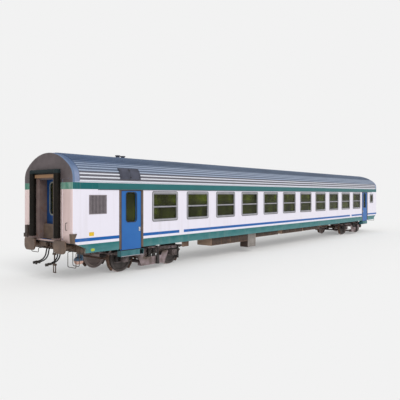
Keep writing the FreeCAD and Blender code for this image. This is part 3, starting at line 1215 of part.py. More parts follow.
# ---- nodes --------------------------------------------------------------------------------
right_wall = side_wall()
save("side_wall_right", right_wall)
save("side_wall_left", turned(right_wall))
front_wall = end_wall()
save("end_wall_front", front_wall)
save("end_wall_rear", turned(front_wall))
save("roof", roof())
save("floor", floor())
save("ceiling", ceiling())

frames = [framed_window(*row) for row in WINDOW_TABLE]
panes = [pane(*row[:4]) for row in WINDOW_TABLE]
save("window_frames", *(frames + [turned(f) for f in frames]))
save("window_glass", *(panes + [turned(p) for p in panes]))

vent = grille()
save("vent_grilles", vent, turned(vent))

right_doors = [-DOOR_X, DOOR_X]
for node, make in (("entrance_door_frames", door_frame), ("entrance_doors", door_leaf),
                   ("entrance_door_glass", door_pane), ("entrance_steps", step_box)):
    right_side = [make(x) for x in right_doors]
    save(node, *(right_side + [turned(s) for s in right_side]))

passage = portal()
leaf, leaf_pane, tube, plate = gangway_leaf(), gangway_pane(), bellows(), fall_plate()
save("gangway_portals", passage, turned(passage))
save("gangway_bellows", tube, turned(tube))
save("gangway_door_front", leaf)
save("gangway_door_rear", turned(leaf))
save("gangway_door_glass_front", leaf_pane)
save("gangway_door_glass_rear", turned(leaf_pane))
save("fall_plate_front", plate)
save("fall_plate_rear", turned(plate))

buffers = [buffer(-1), buffer(1)]
save("buffers", *(buffers + [turned(b) for b in buffers]))
hook, coupling = draw_hook(), screw_coupling()
save("draw_gear", hook, coupling, turned(hook), turned(coupling))
bars = corner_steps(-1) + [front_stirrup(1, rail(LOW_RAIL_H)), socket_box()]
bracket = lamp_bracket(-1)
save("corner_steps_and_socket_boxes", *(bars + [turned(b) for b in bars]))
save("tail_lamp_brackets", bracket, turned(bracket))

cocks, heads = [], []
for node, y, offsets in HOSES:
    hose = tangent_tube(hose_points(y, offsets), HOSE_RADIUS)
    save(node + "_front", hose)
    save(node + "_rear", turned(hose))
    cocks.append(hose_cock(y, offsets))
    head = hose_head(y, offsets)
    heads += [head, turned(head)]
save("underframe", *underframe(cocks))
save("hose_heads", *heads)

screen = partition()
rooms = [washroom(-1), washroom(1), screen]
save("interior_walls", *(rooms + [turned(r) for r in rooms]))
save("benches", *[bench(*place) for place in BENCH_PLACES])
save("bench_stands", *[bench_stand(*place) for place in BENCH_PLACES])

hatch = roof_hatch()
save("roof_hatches", hatch, turned(hatch))
vents = [roof_vent(-(HALF_LENGTH - from_end), radius, height) for from_end, radius, height in VENT_TABLE]
save("roof_vents", *vents)

save("underfloor_boxes", *[equipment_box(*row) for row in EQUIPMENT])
save("converter_box", equipment_box(*CONVERTER))
tanks = [reservoir(share * BOGIE_X, y, height, RESERVOIR_RADIUS, RESERVOIR_LENGTH, rail(UNDERFRAME_LOW_H))
         for share, y, height in RESERVOIRS]
end_tank = reservoir(-HALF_LENGTH + END_RESERVOIR_FROM_END, END_RESERVOIR_Y, END_RESERVOIR_H,
                     END_RESERVOIR_RADIUS, END_RESERVOIR_LENGTH, rail(FLOOR_UNDERSIDE_H), (0.7,))
save("air_reservoirs", *(tanks + [end_tank, turned(end_tank)]))

front = -BOGIE_X
axles = [front - BOGIE_WHEELBASE / 2, front + BOGIE_WHEELBASE / 2]
wheelsets = [wheelset(x) for x in axles]
save("wheelset_1", wheelsets[0])
save("wheelset_2", wheelsets[1])
save("wheelset_3", turned(wheelsets[1]))
save("wheelset_4", turned(wheelsets[0]))
boxes, springs = [], []
for x in axles:
    boxes += both_sides(axle_box(x))
    for spring in primary_springs(x):
        springs += both_sides(spring)
secondary = [coil_spring(front + side * SECONDARY_SPRING_X, -SECONDARY_SPRING_Y, rail(PAN_LOW_H) + PAN_SHEET,
                         rail(BOLSTER_LOW_H), SECONDARY_SPRING_RADIUS, 7) for side in (-1, 1)]
for spring in secondary:
    springs += both_sides(spring)
springs += [damper(front + BOGIE_WHEELBASE / 2 + PRIMARY_SPRING_OFFSET, side) for side in (-1, 1)]
springs += [bolster_damper(front - side * BOLSTER_DAMPER_X, side) for side in (-1, 1)]
bogie = {
    "bogie_frame": [bogie_frame(front)],
    "bogie_bolster": [bolster(front)],
    "bogie_spring_pans": [spring_pans(front)],
    "axle_boxes": boxes,
    "bogie_springs_and_dampers": springs,
    "brake_rigging": brake_rigging(front),
}
for node, solids in bogie.items():
    save(node + "_1", *solids)
    save(node + "_2", *[turned(s) for s in solids])
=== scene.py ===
"""Passenger coach: brake hoses, finishes, trim, seats, studio and camera round the coach's frame."""
import json
import math

import bmesh
import bpy
from mathutils import Matrix, Vector


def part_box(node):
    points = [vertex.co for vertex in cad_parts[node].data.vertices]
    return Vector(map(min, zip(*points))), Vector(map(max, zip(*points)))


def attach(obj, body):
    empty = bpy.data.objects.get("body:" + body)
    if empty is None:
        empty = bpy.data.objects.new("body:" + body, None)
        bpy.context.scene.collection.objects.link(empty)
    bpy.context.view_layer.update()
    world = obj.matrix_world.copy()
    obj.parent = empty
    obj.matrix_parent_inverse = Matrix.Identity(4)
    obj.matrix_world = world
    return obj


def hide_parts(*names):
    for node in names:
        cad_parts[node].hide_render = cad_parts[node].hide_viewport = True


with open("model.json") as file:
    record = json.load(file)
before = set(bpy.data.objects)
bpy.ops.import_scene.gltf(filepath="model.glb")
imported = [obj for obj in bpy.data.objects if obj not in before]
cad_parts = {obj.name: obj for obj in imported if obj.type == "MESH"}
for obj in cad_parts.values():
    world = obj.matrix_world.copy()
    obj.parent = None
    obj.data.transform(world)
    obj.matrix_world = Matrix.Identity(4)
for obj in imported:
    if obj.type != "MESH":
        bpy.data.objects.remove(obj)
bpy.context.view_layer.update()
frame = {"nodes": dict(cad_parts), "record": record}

RAIL = 0.028            # top of the rails above the frame's floor
HALF_LENGTH = 13.05     # to the end walls
HALF_WIDTH = 1.4125
TURN = Matrix.Rotation(math.pi, 4, "Z")     # the rear half is the front half turned round


# ---- camera ---------------------------------------------------------------------------------
lens = bpy.data.cameras.new("camera")
lens.sensor_width = 36
lens.lens = 40.82
lens.shift_x = -0.02755
lens.shift_y = -0.0145
eye = bpy.data.objects.new("camera", lens)
bpy.context.scene.collection.objects.link(eye)
eye.location = (-20.999, -13.346, 2.731)
eye.rotation_euler = (math.radians(90), 0, math.radians(39.34 - 90))
bpy.context.scene.camera = eye


# ---- brake hoses: name, y of the cock's mouth, then forward, sideways and up from it in mm ----
HOSE_MOUTH_X, HOSE_MOUTH_Z = -12.810, 0.963
HOSES = [
    ("air_hose_1", 0.250, [(0, 0, 0), (30, 2, -95), (42, 6, -215), (98, 12, -320), (192, 16, -394),
                           (309, 18, -420)]),
    ("air_hose_2", 0.390, [(0, 0, 0), (34, -3, -93), (50, -6, -212), (110, -8, -316),
                           (206, -6, -388), (322, -2, -412)]),
    ("air_hose_3", -0.290, [(0, 0, 0), (26, 3, -96), (34, 8, -216), (86, 10, -324), (178, 8, -401),
                            (294, 4, -430)]),
    ("air_hose_4", -0.430, [(0, 0, 0), (36, -4, -92), (52, -8, -211), (112, -10, -315),
                            (208, -6, -387), (324, 2, -411)]),
]
HOSE_DIAMETER = 0.044
ENDS = [("front", Matrix.Identity(4)), ("rear", TURN)]

hoses = {}
for node, y, route in HOSES:
    for end, turn in ENDS:
        data = bpy.data.curves.new("hose_" + node + "_" + end, "CURVE")
        data.dimensions = "3D"
        data.bevel_depth = HOSE_DIAMETER / 2
        data.bevel_resolution = 5
        data.resolution_u = 16
        line = data.splines.new("NURBS")
        line.points.add(len(route) - 1)
        for point, (forward, sideways, rise) in zip(line.points, route):
            place = Vector((HOSE_MOUTH_X - forward / 1000, y + sideways / 1000,
                            HOSE_MOUTH_Z + rise / 1000))
            point.co = (*(turn @ place), 1)
        line.order_u = 3
        line.use_endpoint_u = True
        hose = bpy.data.objects.new(data.name, data)
        bpy.context.scene.collection.objects.link(hose)
        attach(hose, "coach_body")
        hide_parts(node + "_" + end)
        hoses[node, end] = hose


# ---- modelling --------------------------------------------------------------------------------
def alone(*pieces):
    """Only these pieces selected, the first one active; the coach's own nodes are let go."""
    bpy.ops.object.select_all(action="DESELECT")
    for piece in pieces:
        piece.select_set(True)
    bpy.context.view_layer.objects.active = pieces[0]


def settle(name):
    """The object just added becomes a piece at the origin, with its place in its mesh."""
    piece = bpy.context.object
    piece.name = piece.data.name = name
    alone(piece)
    bpy.ops.object.transform_apply(location=True, rotation=True, scale=True)
    return piece


def pick(test):
    """In edit mode, selects only the faces whose middle and normal pass a test."""
    mesh = bmesh.from_edit_mesh(bpy.context.object.data)
    for part in (*mesh.verts, *mesh.edges, *mesh.faces):
        part.select = False
    for face in mesh.faces:
        if test(face.calc_center_median(), face.normal):
            face.select_set(True)
    bmesh.update_edit_mesh(bpy.context.object.data)


def block(name, low, high, edge, segments=2):
    """A pressed or cast block between two corners, its edges rounded."""
    low, high = Vector(low), Vector(high)
    bpy.ops.object.select_all(action="DESELECT")
    bpy.ops.mesh.primitive_cube_add(size=1, location=(low + high) / 2)
    bpy.context.object.scale = high - low
    piece = settle(name)
    bpy.ops.object.mode_set(mode="EDIT")
    bpy.ops.mesh.select_all(action="SELECT")
    bpy.ops.mesh.bevel(offset=edge, segments=segments, affect="EDGES")
    bpy.ops.object.mode_set(mode="OBJECT")
    return piece


FACING = {"right": (math.pi / 2, 0, 0), "front": (math.pi / 2, 0, -math.pi / 2)}


def plate(name, facing, middle, width, height, corner, thick, band=0.0, segments=5):
    """A flat plate with rounded corners that stands thick proud of its middle; a ring with a band."""
    bpy.ops.object.select_all(action="DESELECT")
    bpy.ops.mesh.primitive_plane_add(size=1, location=middle, rotation=FACING[facing])
    bpy.context.object.scale = (width, height, 1)
    piece = settle(name)
    bpy.ops.object.mode_set(mode="EDIT")
    bpy.ops.mesh.select_all(action="SELECT")
    bpy.ops.mesh.bevel(offset=corner, segments=segments, affect="VERTICES")
    if band:
        bpy.ops.mesh.inset(thickness=band)
        bpy.ops.mesh.delete(type="FACE")
    bpy.ops.object.mode_set(mode="OBJECT")
    wall = piece.modifiers.new("thickness", "SOLIDIFY")
    wall.thickness = thick
    wall.offset = 1
    bpy.ops.object.modifier_apply(modifier=wall.name)
    return piece


def dished(piece, rim, depth):
    """Sinks the outer face of a plate on the side wall by depth, inside a rim."""
    alone(piece)
    bpy.ops.object.mode_set(mode="EDIT")
    pick(lambda middle, normal: normal.y < -0.9)
    bpy.ops.mesh.inset(thickness=rim)
    bpy.ops.mesh.extrude_region_move(TRANSFORM_OT_translate={"value": (0, depth, 0)})
    bpy.ops.object.mode_set(mode="OBJECT")
    return piece


def drum(name, start, end, radius, sides=20, edge=0.003):
    """A turned bar, disc or bolt between two points, its rims broken."""
    start, end = Vector(start), Vector(end)
    along = (end - start).normalized()
    bpy.ops.object.select_all(action="DESELECT")
    bpy.ops.mesh.primitive_cylinder_add(vertices=sides, radius=radius, depth=(end - start).length,
                                        location=(start + end) / 2,
                                        rotation=along.to_track_quat("Z", "Y").to_euler())
    piece = settle(name)
    bpy.ops.object.mode_set(mode="EDIT")
    pick(lambda middle, normal: abs(normal.dot(along)) > 0.9)
    bpy.ops.mesh.bevel(offset=edge, segments=2, affect="EDGES")
    bpy.ops.object.mode_set(mode="OBJECT")
    return piece


def bent_bar(name, points, radius, bend, sides=8):
    """A round bar or pipe along straight runs, with a smooth bend at each corner."""
    points = [Vector(point) for point in points]
    first = (points[1] - points[0]).normalized()
    bpy.ops.object.select_all(action="DESELECT")
    bpy.ops.mesh.primitive_circle_add(vertices=sides, radius=radius, fill_type="NGON", location=points[0],
                                      rotation=first.to_track_quat("Z", "Y").to_euler())
    piece = settle(name)
    bpy.ops.object.mode_set(mode="EDIT")
    bpy.ops.mesh.select_all(action="SELECT")
    at = points[0]
    for corner, after in zip(points[1:], points[2:] + [None]):
        go = (corner - at).normalized()
        if after is None:
            bpy.ops.mesh.extrude_region_move(TRANSFORM_OT_translate={"value": corner - at})
            break
        leave = (after - corner).normalized()
        axis = go.cross(leave).normalized()
        angle = go.angle(leave)
        short = bend * math.tan(angle / 2)
        bpy.ops.mesh.extrude_region_move(TRANSFORM_OT_translate={"value": corner - go * short - at})
        centre = corner - go * short + axis.cross(go) * bend
        bpy.ops.mesh.spin(steps=4, angle=-angle, center=centre, axis=axis)
        at = corner + leave * short
    bpy.ops.mesh.select_all(action="SELECT")
    bpy.ops.mesh.remove_doubles(threshold=0.0002)
    bpy.ops.mesh.normals_make_consistent(inside=False)
    bpy.ops.object.mode_set(mode="OBJECT")
    return piece


def joined(name, pieces):
    """Several pieces become one, under one name."""
    alone(*pieces)
    if len(pieces) > 1:
        bpy.ops.object.join()
    pieces[0].name = pieces[0].data.name = name
    return pieces[0]


def repeated(name, piece, moves):
    """One model copied to each place, each copy with its own mesh, and all joined under one name."""
    twins = []
    for move in moves:
        twin = piece.copy()
        twin.data = piece.data.copy()
        twin.data.transform(move)
        bpy.context.scene.collection.objects.link(twin)
        twins.append(twin)
    bpy.data.objects.remove(piece)
    return joined(name, twins)


def shift(x=0.0, y=0.0, z=0.0):
    return Matrix.Translation((x, y, z))


def both_ways(*moves):
    """The moves, and the same ones for the half that is turned round."""
    return list(moves) + [TURN @ move for move in moves]


def dress(piece, finish, body="coach_body"):
    """The finish, smooth shading and the body of a finished piece."""
    piece.data.materials.clear()
    piece.data.materials.append(finish)
    alone(piece)
    bpy.ops.object.shade_smooth_by_angle(angle=math.radians(32))
    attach(piece, body)
    return piece


def up(height):
    """A height above the rails in the coach's frame."""
    return RAIL + height


# ---- finishes ---------------------------------------------------------------------------------
def colour(code):
    """sRGB hex as linear colour with full alpha."""
    parts = [int(code[i:i + 2], 16) / 255 for i in (1, 3, 5)]
    return [c / 12.92 if c <= 0.04045 else ((c + 0.055) / 1.055) ** 2.4 for c in parts] + [1.0]


def add(tree, kind, inputs=(), **settings):
    """Adds a shader node with its settings, its inputs filled with values or other nodes' sockets."""
    node = tree.nodes.new(kind)
    for name, value in settings.items():
        setattr(node, name, value)
    for name, value in dict(inputs).items():
        if isinstance(value, bpy.types.NodeSocket):
            tree.links.new(value, node.inputs[name])
        else:
            node.inputs[name].default_value = value
    return node


def surface(name, base, roughness, metallic=0.0, bump=None, depth=0.001, **constants):
    """A finish; base and roughness may be called with the tree to build the colour that varies."""
    finish = bpy.data.materials.new(name)
    finish.use_nodes = True
    tree = finish.node_tree
    shader = tree.nodes["Principled BSDF"]
    shader.inputs["Metallic"].default_value = metallic
    for socket, value in (("Base Color", base), ("Roughness", roughness)):
        if callable(value):
            tree.links.new(value(tree), shader.inputs[socket])
        else:
            shader.inputs[socket].default_value = value
    for socket, value in constants.items():
        shader.inputs[socket.replace("_", " ")].default_value = value
    if bump:
        relief = add(tree, "ShaderNodeBump", {"Height": bump(tree), "Distance": depth})
        tree.links.new(relief.outputs[0], shader.inputs["Normal"])
    return finish


def cloud(tree, spacing, low, high, stretch=(1, 1, 1), detail=5.0):
    """Soft patches from 0 to 1, about spacing metres across, in the coach's own coordinates."""
    place = add(tree, "ShaderNodeTexCoord").outputs["Object"]
    place = add(tree, "ShaderNodeMapping", {"Vector": place, "Scale": stretch}).outputs[0]
    noise = add(tree, "ShaderNodeTexNoise", {"Vector": place, "Scale": 1 / spacing, "Detail": detail})
    return add(tree, "ShaderNodeMapRange", {"Value": noise.outputs["Fac"], "From Min": low,
                                            "From Max": high}).outputs["Result"]


def coated(tree, under, overlay, mask, most=1.0):
    """One colour laid over another through a mask that is scaled to most: dirt and paint bands, and in places
    painted light or painted shade.
    """
    share = add(tree, "ShaderNodeMath", {0: mask, 1: most}, operation="MULTIPLY").outputs[0]
    return add(tree, "ShaderNodeMix", {0: share, 6: under, 7: overlay}, data_type="RGBA").outputs[2]


def between(tree, axis, low, high, soft=0.002):
    """1 between two places along an axis of the coach, 0 outside; |axis| if it starts with a bar."""
    place = add(tree, "ShaderNodeTexCoord").outputs["Object"]
    value = add(tree, "ShaderNodeSeparateXYZ", {0: place}).outputs[axis[-1]]
    if axis[0] == "|":
        value = add(tree, "ShaderNodeMath", {0: value}, operation="ABSOLUTE").outputs[0]
    rise = add(tree, "ShaderNodeMapRange", {"Value": value, "From Min": low - soft,
                                            "From Max": low + soft}).outputs["Result"]
    fall = add(tree, "ShaderNodeMapRange", {"Value": value, "From Min": high + soft,
                                            "From Max": high - soft}).outputs["Result"]
    return add(tree, "ShaderNodeMath", {0: rise, 1: fall}, operation="MULTIPLY").outputs[0]


def where_all(tree, *masks):
    """1 only where every one of the masks is 1."""
    product = masks[0]
    for mask in masks[1:]:
        product = add(tree, "ShaderNodeMath", {0: product, 1: mask}, operation="MULTIPLY").outputs[0]
    return product


WHITE, BAND_GREEN, STRIPE_BLUE = "#e1dde8", "#055d5f", "#0057a1"
ABOVE_ALL = 9.0                     # higher than the coach, for bands with no upper edge
SKIRT_TOP = RAIL + 1.145
STRIPE_LOW, STRIPE_HIGH = RAIL + 1.235, RAIL + 1.34
BAND_LOW, BAND_HIGH = RAIL + 2.86, RAIL + 3.07
GAP_X, GAP_HALF = 8.225, 0.125      # the blue stripe is broken here
# the roof's section: a shoulder arc each side, and the crown arc between them
SHOULDER_Y, SHOULDER_Z, SHOULDER_R = 0.9125, RAIL + 3.2, 0.5
CROWN_Z, CROWN_R, SHOULDER_END_Z = RAIL + 2.1455, 1.8945, RAIL + 3.578


def livery(tree):
    """The bands of the side: green skirt, white gap, blue stripe, white, green under the roof."""
    skirt = coated(tree, colour("#176668"), colour("#5d8f90"), cloud(tree, 0.5, 0.4, 0.8, (1, 1, 3)), 0.4)
    low_edge = between(tree, "Z", 0.0, RAIL + 0.99, 0.1)
    skirt = coated(tree, skirt, colour("#5f8a8e"), low_edge, 0.4)
    paint = coated(tree, colour(WHITE), skirt, between(tree, "Z", 0.0, SKIRT_TOP))
    broken = between(tree, "|X", GAP_X - GAP_HALF, GAP_X + GAP_HALF)
    whole = add(tree, "ShaderNodeMath", {0: 1.0, 1: broken}, operation="SUBTRACT").outputs[0]
    stripe = where_all(tree, between(tree, "Z", STRIPE_LOW, STRIPE_HIGH), whole)
    paint = coated(tree, paint, colour(STRIPE_BLUE), stripe)
    paint = coated(tree, paint, colour(BAND_GREEN), between(tree, "Z", BAND_LOW, BAND_HIGH))
    streaks = cloud(tree, 0.16, 0.52, 0.85, (1, 1, 0.06))
    return coated(tree, paint, colour("#a39a90"), streaks, 0.16)


def side_paint():
    # two-pack paint sprayed on sheet steel: smooth satin with faint ripples of the sheet
    def base(tree):
        inner = between(tree, "|Y", 0.0, HALF_WIDTH - 0.045)
        return coated(tree, livery(tree), colour("#b9b2a2"), inner)
    return surface("two_pack_paint_on_side_sheet", base, 0.36,
                   bump=lambda tree: cloud(tree, 0.8, 0.2, 0.8, (1, 1, 0.6), 1.0), depth=0.004,
                   Specular_IOR_Level=0.3)


def facing_out(tree):
    """1 on faces that look along the coach, 0 on those that look sideways or up."""
    normal = add(tree, "ShaderNodeNewGeometry").outputs["Normal"]
    along = add(tree, "ShaderNodeSeparateXYZ", {0: normal}).outputs["X"]
    along = add(tree, "ShaderNodeMath", {0: along}, operation="ABSOLUTE").outputs[0]
    return add(tree, "ShaderNodeMath", {0: along, 1: 0.6}, operation="GREATER_THAN").outputs[0]


def end_paint():
    # the same paint under soot and brake dust: dull and streaky; its rim carries side and roof paint
    def base(tree):
        wall = coated(tree, colour("#e0c8c5"), colour("#b79f99"), cloud(tree, 0.22, 0.45, 0.8,
                                                                      (1, 1, 0.12)), 0.6)
        # the far half of the end wall painted paler: painted light
        wall = coated(tree, wall, colour("#f2dcd8"), between(tree, "Y", 0.8, 2.0), 0.6)
        wall = coated(tree, wall, colour("#8a7268"), between(tree, "Z", 0.0, RAIL + 1.35, 0.12), 0.6)
        green = coated(tree, colour("#4f8573"), colour("#8fae9f"), cloud(tree, 0.3, 0.4, 0.7))
        wall = coated(tree, wall, green, between(tree, "Z", BAND_LOW, BAND_HIGH))
        soot = coated(tree, colour("#62585a"), colour("#4b4243"), cloud(tree, 0.4, 0.35, 0.75))
        wall = coated(tree, wall, soot, between(tree, "Z", BAND_HIGH, ABOVE_ALL))
        rim = coated(tree, livery(tree), colour("#5f7494"), between(tree, "Z", BAND_HIGH, ABOVE_ALL))
        return coated(tree, rim, wall, facing_out(tree))
    return surface("sooty_paint_on_end_wall", base, 0.6,
                   bump=lambda tree: cloud(tree, 0.05, 0.3, 0.7), depth=0.001)


def distance_to_line(tree, y, z):
    """Distance from a line along the coach, at |y| and z."""
    place = add(tree, "ShaderNodeTexCoord").outputs["Object"]
    place = add(tree, "ShaderNodeVectorMath", {0: place}, operation="ABSOLUTE").outputs[0]
    place = add(tree, "ShaderNodeVectorMath", {0: place, 1: (0, 1, 1)}, operation="MULTIPLY").outputs[0]
    return add(tree, "ShaderNodeVectorMath", {0: place, 1: (0, y, z)}, operation="DISTANCE").outputs["Value"]


def rib_top(tree):
    """1 on the tops of the roof's ribs and 0 in the grooves between them."""
    on_shoulder = between(tree, "Z", 0.0, SHOULDER_END_Z)
    tops = []
    for y, z, radius in ((0.0, CROWN_Z, CROWN_R), (SHOULDER_Y, SHOULDER_Z, SHOULDER_R)):
        height = distance_to_line(tree, y, z)
        tops.append(add(tree, "ShaderNodeMapRange", {"Value": height, "From Min": radius + 0.005,
                                                      "From Max": radius + 0.016}).outputs["Result"])
    return add(tree, "ShaderNodeMix", {0: on_shoulder, 2: tops[0], 3: tops[1]}).outputs[0]


def roof_paint():
    # weathered paint on corrugated steel: blue grey with brown streaks; the rib tops carry a painted
    # highlight and the grooves painted shade, the highlight near white low on the shoulder; bluer over the
    # front crown; a bluer plain strip at each end with a painted highlight low down
    def base(tree):
        top = coated(tree, colour("#64738a"), colour("#4a566a"),
                     cloud(tree, 0.6, 0.4, 0.75, (0.25, 1, 1)), 0.7)
        groove_shade = coated(tree, colour("#434e5e"), colour("#383f4b"),
                        cloud(tree, 0.6, 0.4, 0.75, (0.25, 1, 1)))
        # bands up the shoulder: paler rib tops (painted highlight) and their grooves (painted shade) where
        # the ribs face the light
        for low, high, pale, dark in ((3.42, 3.74, "#a9b5ca", "#5f697a"), (3.0, 3.42, "#e4e5ed", "#66656d")):
            here = between(tree, "Z", RAIL + low, RAIL + high, 0.03)
            top = coated(tree, top, colour(pale), here, 0.85)
            groove_shade = coated(tree, groove_shade, colour(dark), here)
        paint = coated(tree, groove_shade, top, rib_top(tree))
        front_crown = where_all(tree, between(tree, "X", -14.0, -10.2, 2.0),
                                between(tree, "Z", RAIL + 3.6, 5.0, 0.15))
        paint = coated(tree, paint, colour("#4c6184"), front_crown, 0.5)
        plain_end = between(tree, "|X", HALF_LENGTH - 0.25, HALF_LENGTH + 1)
        # the lower part of the plain strip painted paler: painted highlight
        low_end_highlight = between(tree, "Z", RAIL + 3.0, RAIL + 3.5, 0.15)
        blue = coated(tree, colour("#566c90"), colour("#8b9bbd"), low_end_highlight)
        paint = coated(tree, paint, blue, plain_end, 0.7)
        return coated(tree, paint, colour("#6b5f58"), cloud(tree, 0.3, 0.62, 0.85, (1, 0.15, 0.15)), 0.35)
    return surface("weathered_roof_paint", base, 0.5,
                   bump=lambda tree: cloud(tree, 0.02, 0.3, 0.7), depth=0.0006, Specular_IOR_Level=0.15)


def dusty_steel(name, base_code, dust_code, share, roughness=0.7, patch=0.25, rust=None, spots=(),
                **more):
    # the grime all of the coach's fittings share: brake dust in soft patches, a fine grain, some rust;
    # spots are places, as ranges along axes, painted a colour of their own; some are painted shade or painted
    # light, as said where they are given
    def base(tree):
        paint = coated(tree, colour(base_code), colour(dust_code), cloud(tree, patch, 0.35, 0.7), share)
        if rust:
            paint = coated(tree, paint, colour(rust), cloud(tree, patch * 0.6, 0.58, 0.72), 0.8)
        for code, *ranges in spots:
            here = where_all(tree, *[between(tree, axis, low, high, 0.01) for axis, low, high in ranges])
            paint = coated(tree, paint, colour(code), here)
        return paint
    return surface(name, base, roughness, bump=lambda tree: cloud(tree, 0.012, 0.3, 0.7), depth=0.0008,
                   **more)


def window_glass():
    # tinted laminated glass: dark olive, with green and yellow patches that are a painted reflection of
    # foliage, and darker patches among them; little real reflection
    def base(tree):
        glass_and_painted_reflection = coated(tree, colour("#6b7042"), colour("#8f9c48"), cloud(tree, 0.45, 0.45, 0.7, (1, 1, 0.8)))
        return coated(tree, glass_and_painted_reflection, colour("#2c301b"), cloud(tree, 0.7, 0.5, 0.7, (1, 1, 0.6)), 0.75)
    return surface("tinted_glass_with_painted_reflection", base, 0.02, IOR=1.2, Transmission_Weight=0.86,
                   Specular_IOR_Level=0.3)


def case_paint(name, base_code, dust_code, end_face_painted_light):
    # matt enamel on a steel case under the floor, with dust patches; the faces that look along the coach get
    # a tone of their own that stands in for how light falls on them: painted light
    def base(tree):
        paint = coated(tree, colour(base_code), colour(dust_code), cloud(tree, 0.25, 0.35, 0.7), 0.6)
        return coated(tree, paint, colour(end_face_painted_light), facing_out(tree))
    return surface(name, base, 0.7)


FINISHES = {
    "body_paint": side_paint(),
    "end_paint": end_paint(),
    "roof_paint": roof_paint(),
    # brushed enamel on pressed steel: blue green, scuffed paler by boots; painted near black inside the step
    # pocket, painted shade
    "skirt_paint": dusty_steel("green_enamel_on_steps", "#1f5f66", "#4f7f86", 0.6, 0.5,
                               spots=[("#0d1414", ("|X", 10.19, 10.33), ("|Y", 1.19, 1.405))]),
    # sprayed enamel: deep even blue, a little faded; darker on the gangway leaves, which stand back between
    # the bellows: painted shade
    "door_paint": dusty_steel("blue_enamel_on_doors", "#105ba2", "#2468ac", 0.5, 0.4, 0.6,
                              spots=[("#0d3f77", ("|X", 12.5, 13.2))]),
    # matt paint on pressed fittings: dark slate grey
    "dark_grey_paint": dusty_steel("dark_grey_roof_fittings_paint", "#373946", "#525464", 0.6),
    # enamel on folded sheet boxes: brown; the end faces painted paler, painted light
    "brown_steel": case_paint("brown_enamel_on_equipment_boxes", "#5a4335", "#7c6353", "#b59a86"),
    # black paint on rolled sections: brown black with rust freckles
    "underframe_steel": dusty_steel("black_paint_under_brake_dust", "#4a3d34", "#7b6658", 0.6,
                                    rust="#7d4a36"),
    # forged steel rubbed with grease: smoother, brown, with paler rubbed patches
    "buffer_steel": dusty_steel("greasy_buffer_steel", "#5c493d", "#7c6656", 0.7, 0.5),
    # sand-cast iron: rough and dark, with orange rust
    "cast_iron": dusty_steel("rusty_cast_iron", "#4a3a30", "#7d6152", 0.6, 0.85, 0.1, rust="#96512e"),
    # forged and turned steel: dull dark grey rims; the webs pinkish with brake dust and painted near white as
    # painted light where they stand in the body's shadow
    "wheel_steel": dusty_steel("dusty_wheel_steel_with_painted_light", "#3f3936", "#5f5755", 0.7, 0.6,
                               spots=[("#e0cfcb", ("|Y", 0.3, 0.748))]),
    # welded plate: brown paint nearly lost under pinkish dust
    "bogie_steel": dusty_steel("brown_paint_under_pinkish_dust", "#54473f", "#a8969c", 0.75, 0.75),
    # coiled steel in black enamel, a little shinier than its neighbours; its near black also stands as
    # painted shade inside the coils
    "spring_steel": dusty_steel("black_spring_enamel_and_painted_shade", "#242120", "#5c5250", 0.4, 0.55),
    # painted castings: black brown under grey pink dust
    "axle_box_iron": dusty_steel("painted_axle_box_iron", "#453b36", "#8d7f80", 0.6, 0.7),
    # enamelled sheet: mid grey with pale dust
    "grey_steel": dusty_steel("grey_paint_dusty", "#7b7570", "#a29a94", 0.6, 0.7),
    # extruded and anodised: even soft grey with a low sheen
    "window_aluminium": dusty_steel("dull_anodised_aluminium", "#a09fa4", "#7d7b83", 0.6, 0.4, 0.3),
    # moulded rubber: near black and matt underfoot
    "floor_covering": dusty_steel("ribbed_rubber_flooring", "#2a2a2c", "#3c3b3a", 0.5, 0.8),
    # pressed laminate: flat beige panels
    "lining_laminate": dusty_steel("decorative_laminate", "#9a9480", "#857f6c", 0.5, 0.4),
    # calendered vinyl over foam: blue, finely mottled, with a soft sheen
    "seat_vinyl": dusty_steel("blue_seat_vinyl", "#2b3f6b", "#24345a", 0.5, 0.5, 0.05),
    # moulded rubber tubes: black with brown dust in the pores and little shine, bluer on the top bow
    "black_rubber": dusty_steel("black_gangway_rubber", "#0d0b07", "#211b13", 0.5, 0.7, 0.12,
                                spots=[("#1c2729", ("Z", RAIL + 3.36, RAIL + 3.6))],
                                Specular_IOR_Level=0.2),
    # braided hose: black with grey dust
    "hose_rubber": dusty_steel("braided_hose_rubber", "#0e0e0c", "#1f1d1a", 0.5, 0.6, 0.05),
    "tinted_glass": window_glass(),
}
# paint on folded sheet: mauve brown, rusty where it chips, the lintel worn to ochre
PORTAL_PAINT = dusty_steel("mauve_brown_portal_paint", "#63524f", "#7d6b66", 0.6, rust="#6d4c3a",
                           spots=[("#94704f", ("Z", RAIL + 3.228, RAIL + 3.335), ("|X", 12.9, 13.2))])
# enamel on pressed slats: grey brown; painted near black in the slots behind them, painted shade
GRILLE_PAINT = dusty_steel("grey_brown_grille_paint", "#8d8488", "#6d666a", 0.5, 0.6, 0.1,
                           spots=[("#1b191b", ("|Y", 1.30, 1.404))])
# enamel on rolled tanks: grey, and on the end tank blue above and salmon below
TANK_PAINT = dusty_steel("grey_paint_on_air_tanks", "#5a5550", "#84776f", 0.6, 0.6, 0.2,
                         spots=[("#46627c", ("|X", 12.2, 12.6), ("Z", RAIL + 0.565, RAIL + 0.75)),
                                ("#cfa898", ("|X", 12.2, 12.6), ("Z", RAIL + 0.4, RAIL + 0.56))])
# grey enamel on the converter case; its end faces painted dark brown, painted shade
CONVERTER_PAINT = case_paint("grey_enamel_on_converter_case", "#7b7570", "#a29a94", "#453731")
# extruded rubber: black with a faint bloom
GASKET = dusty_steel("window_gasket_rubber", "#17171a", "#2c2b2d", 0.4, 0.55, 0.1)
# extruded rubber, perished: pale olive grey
PALE_GASKET = dusty_steel("olive_grey_gasket_rubber", "#8d9080", "#6f7266", 0.5, 0.5, 0.1)
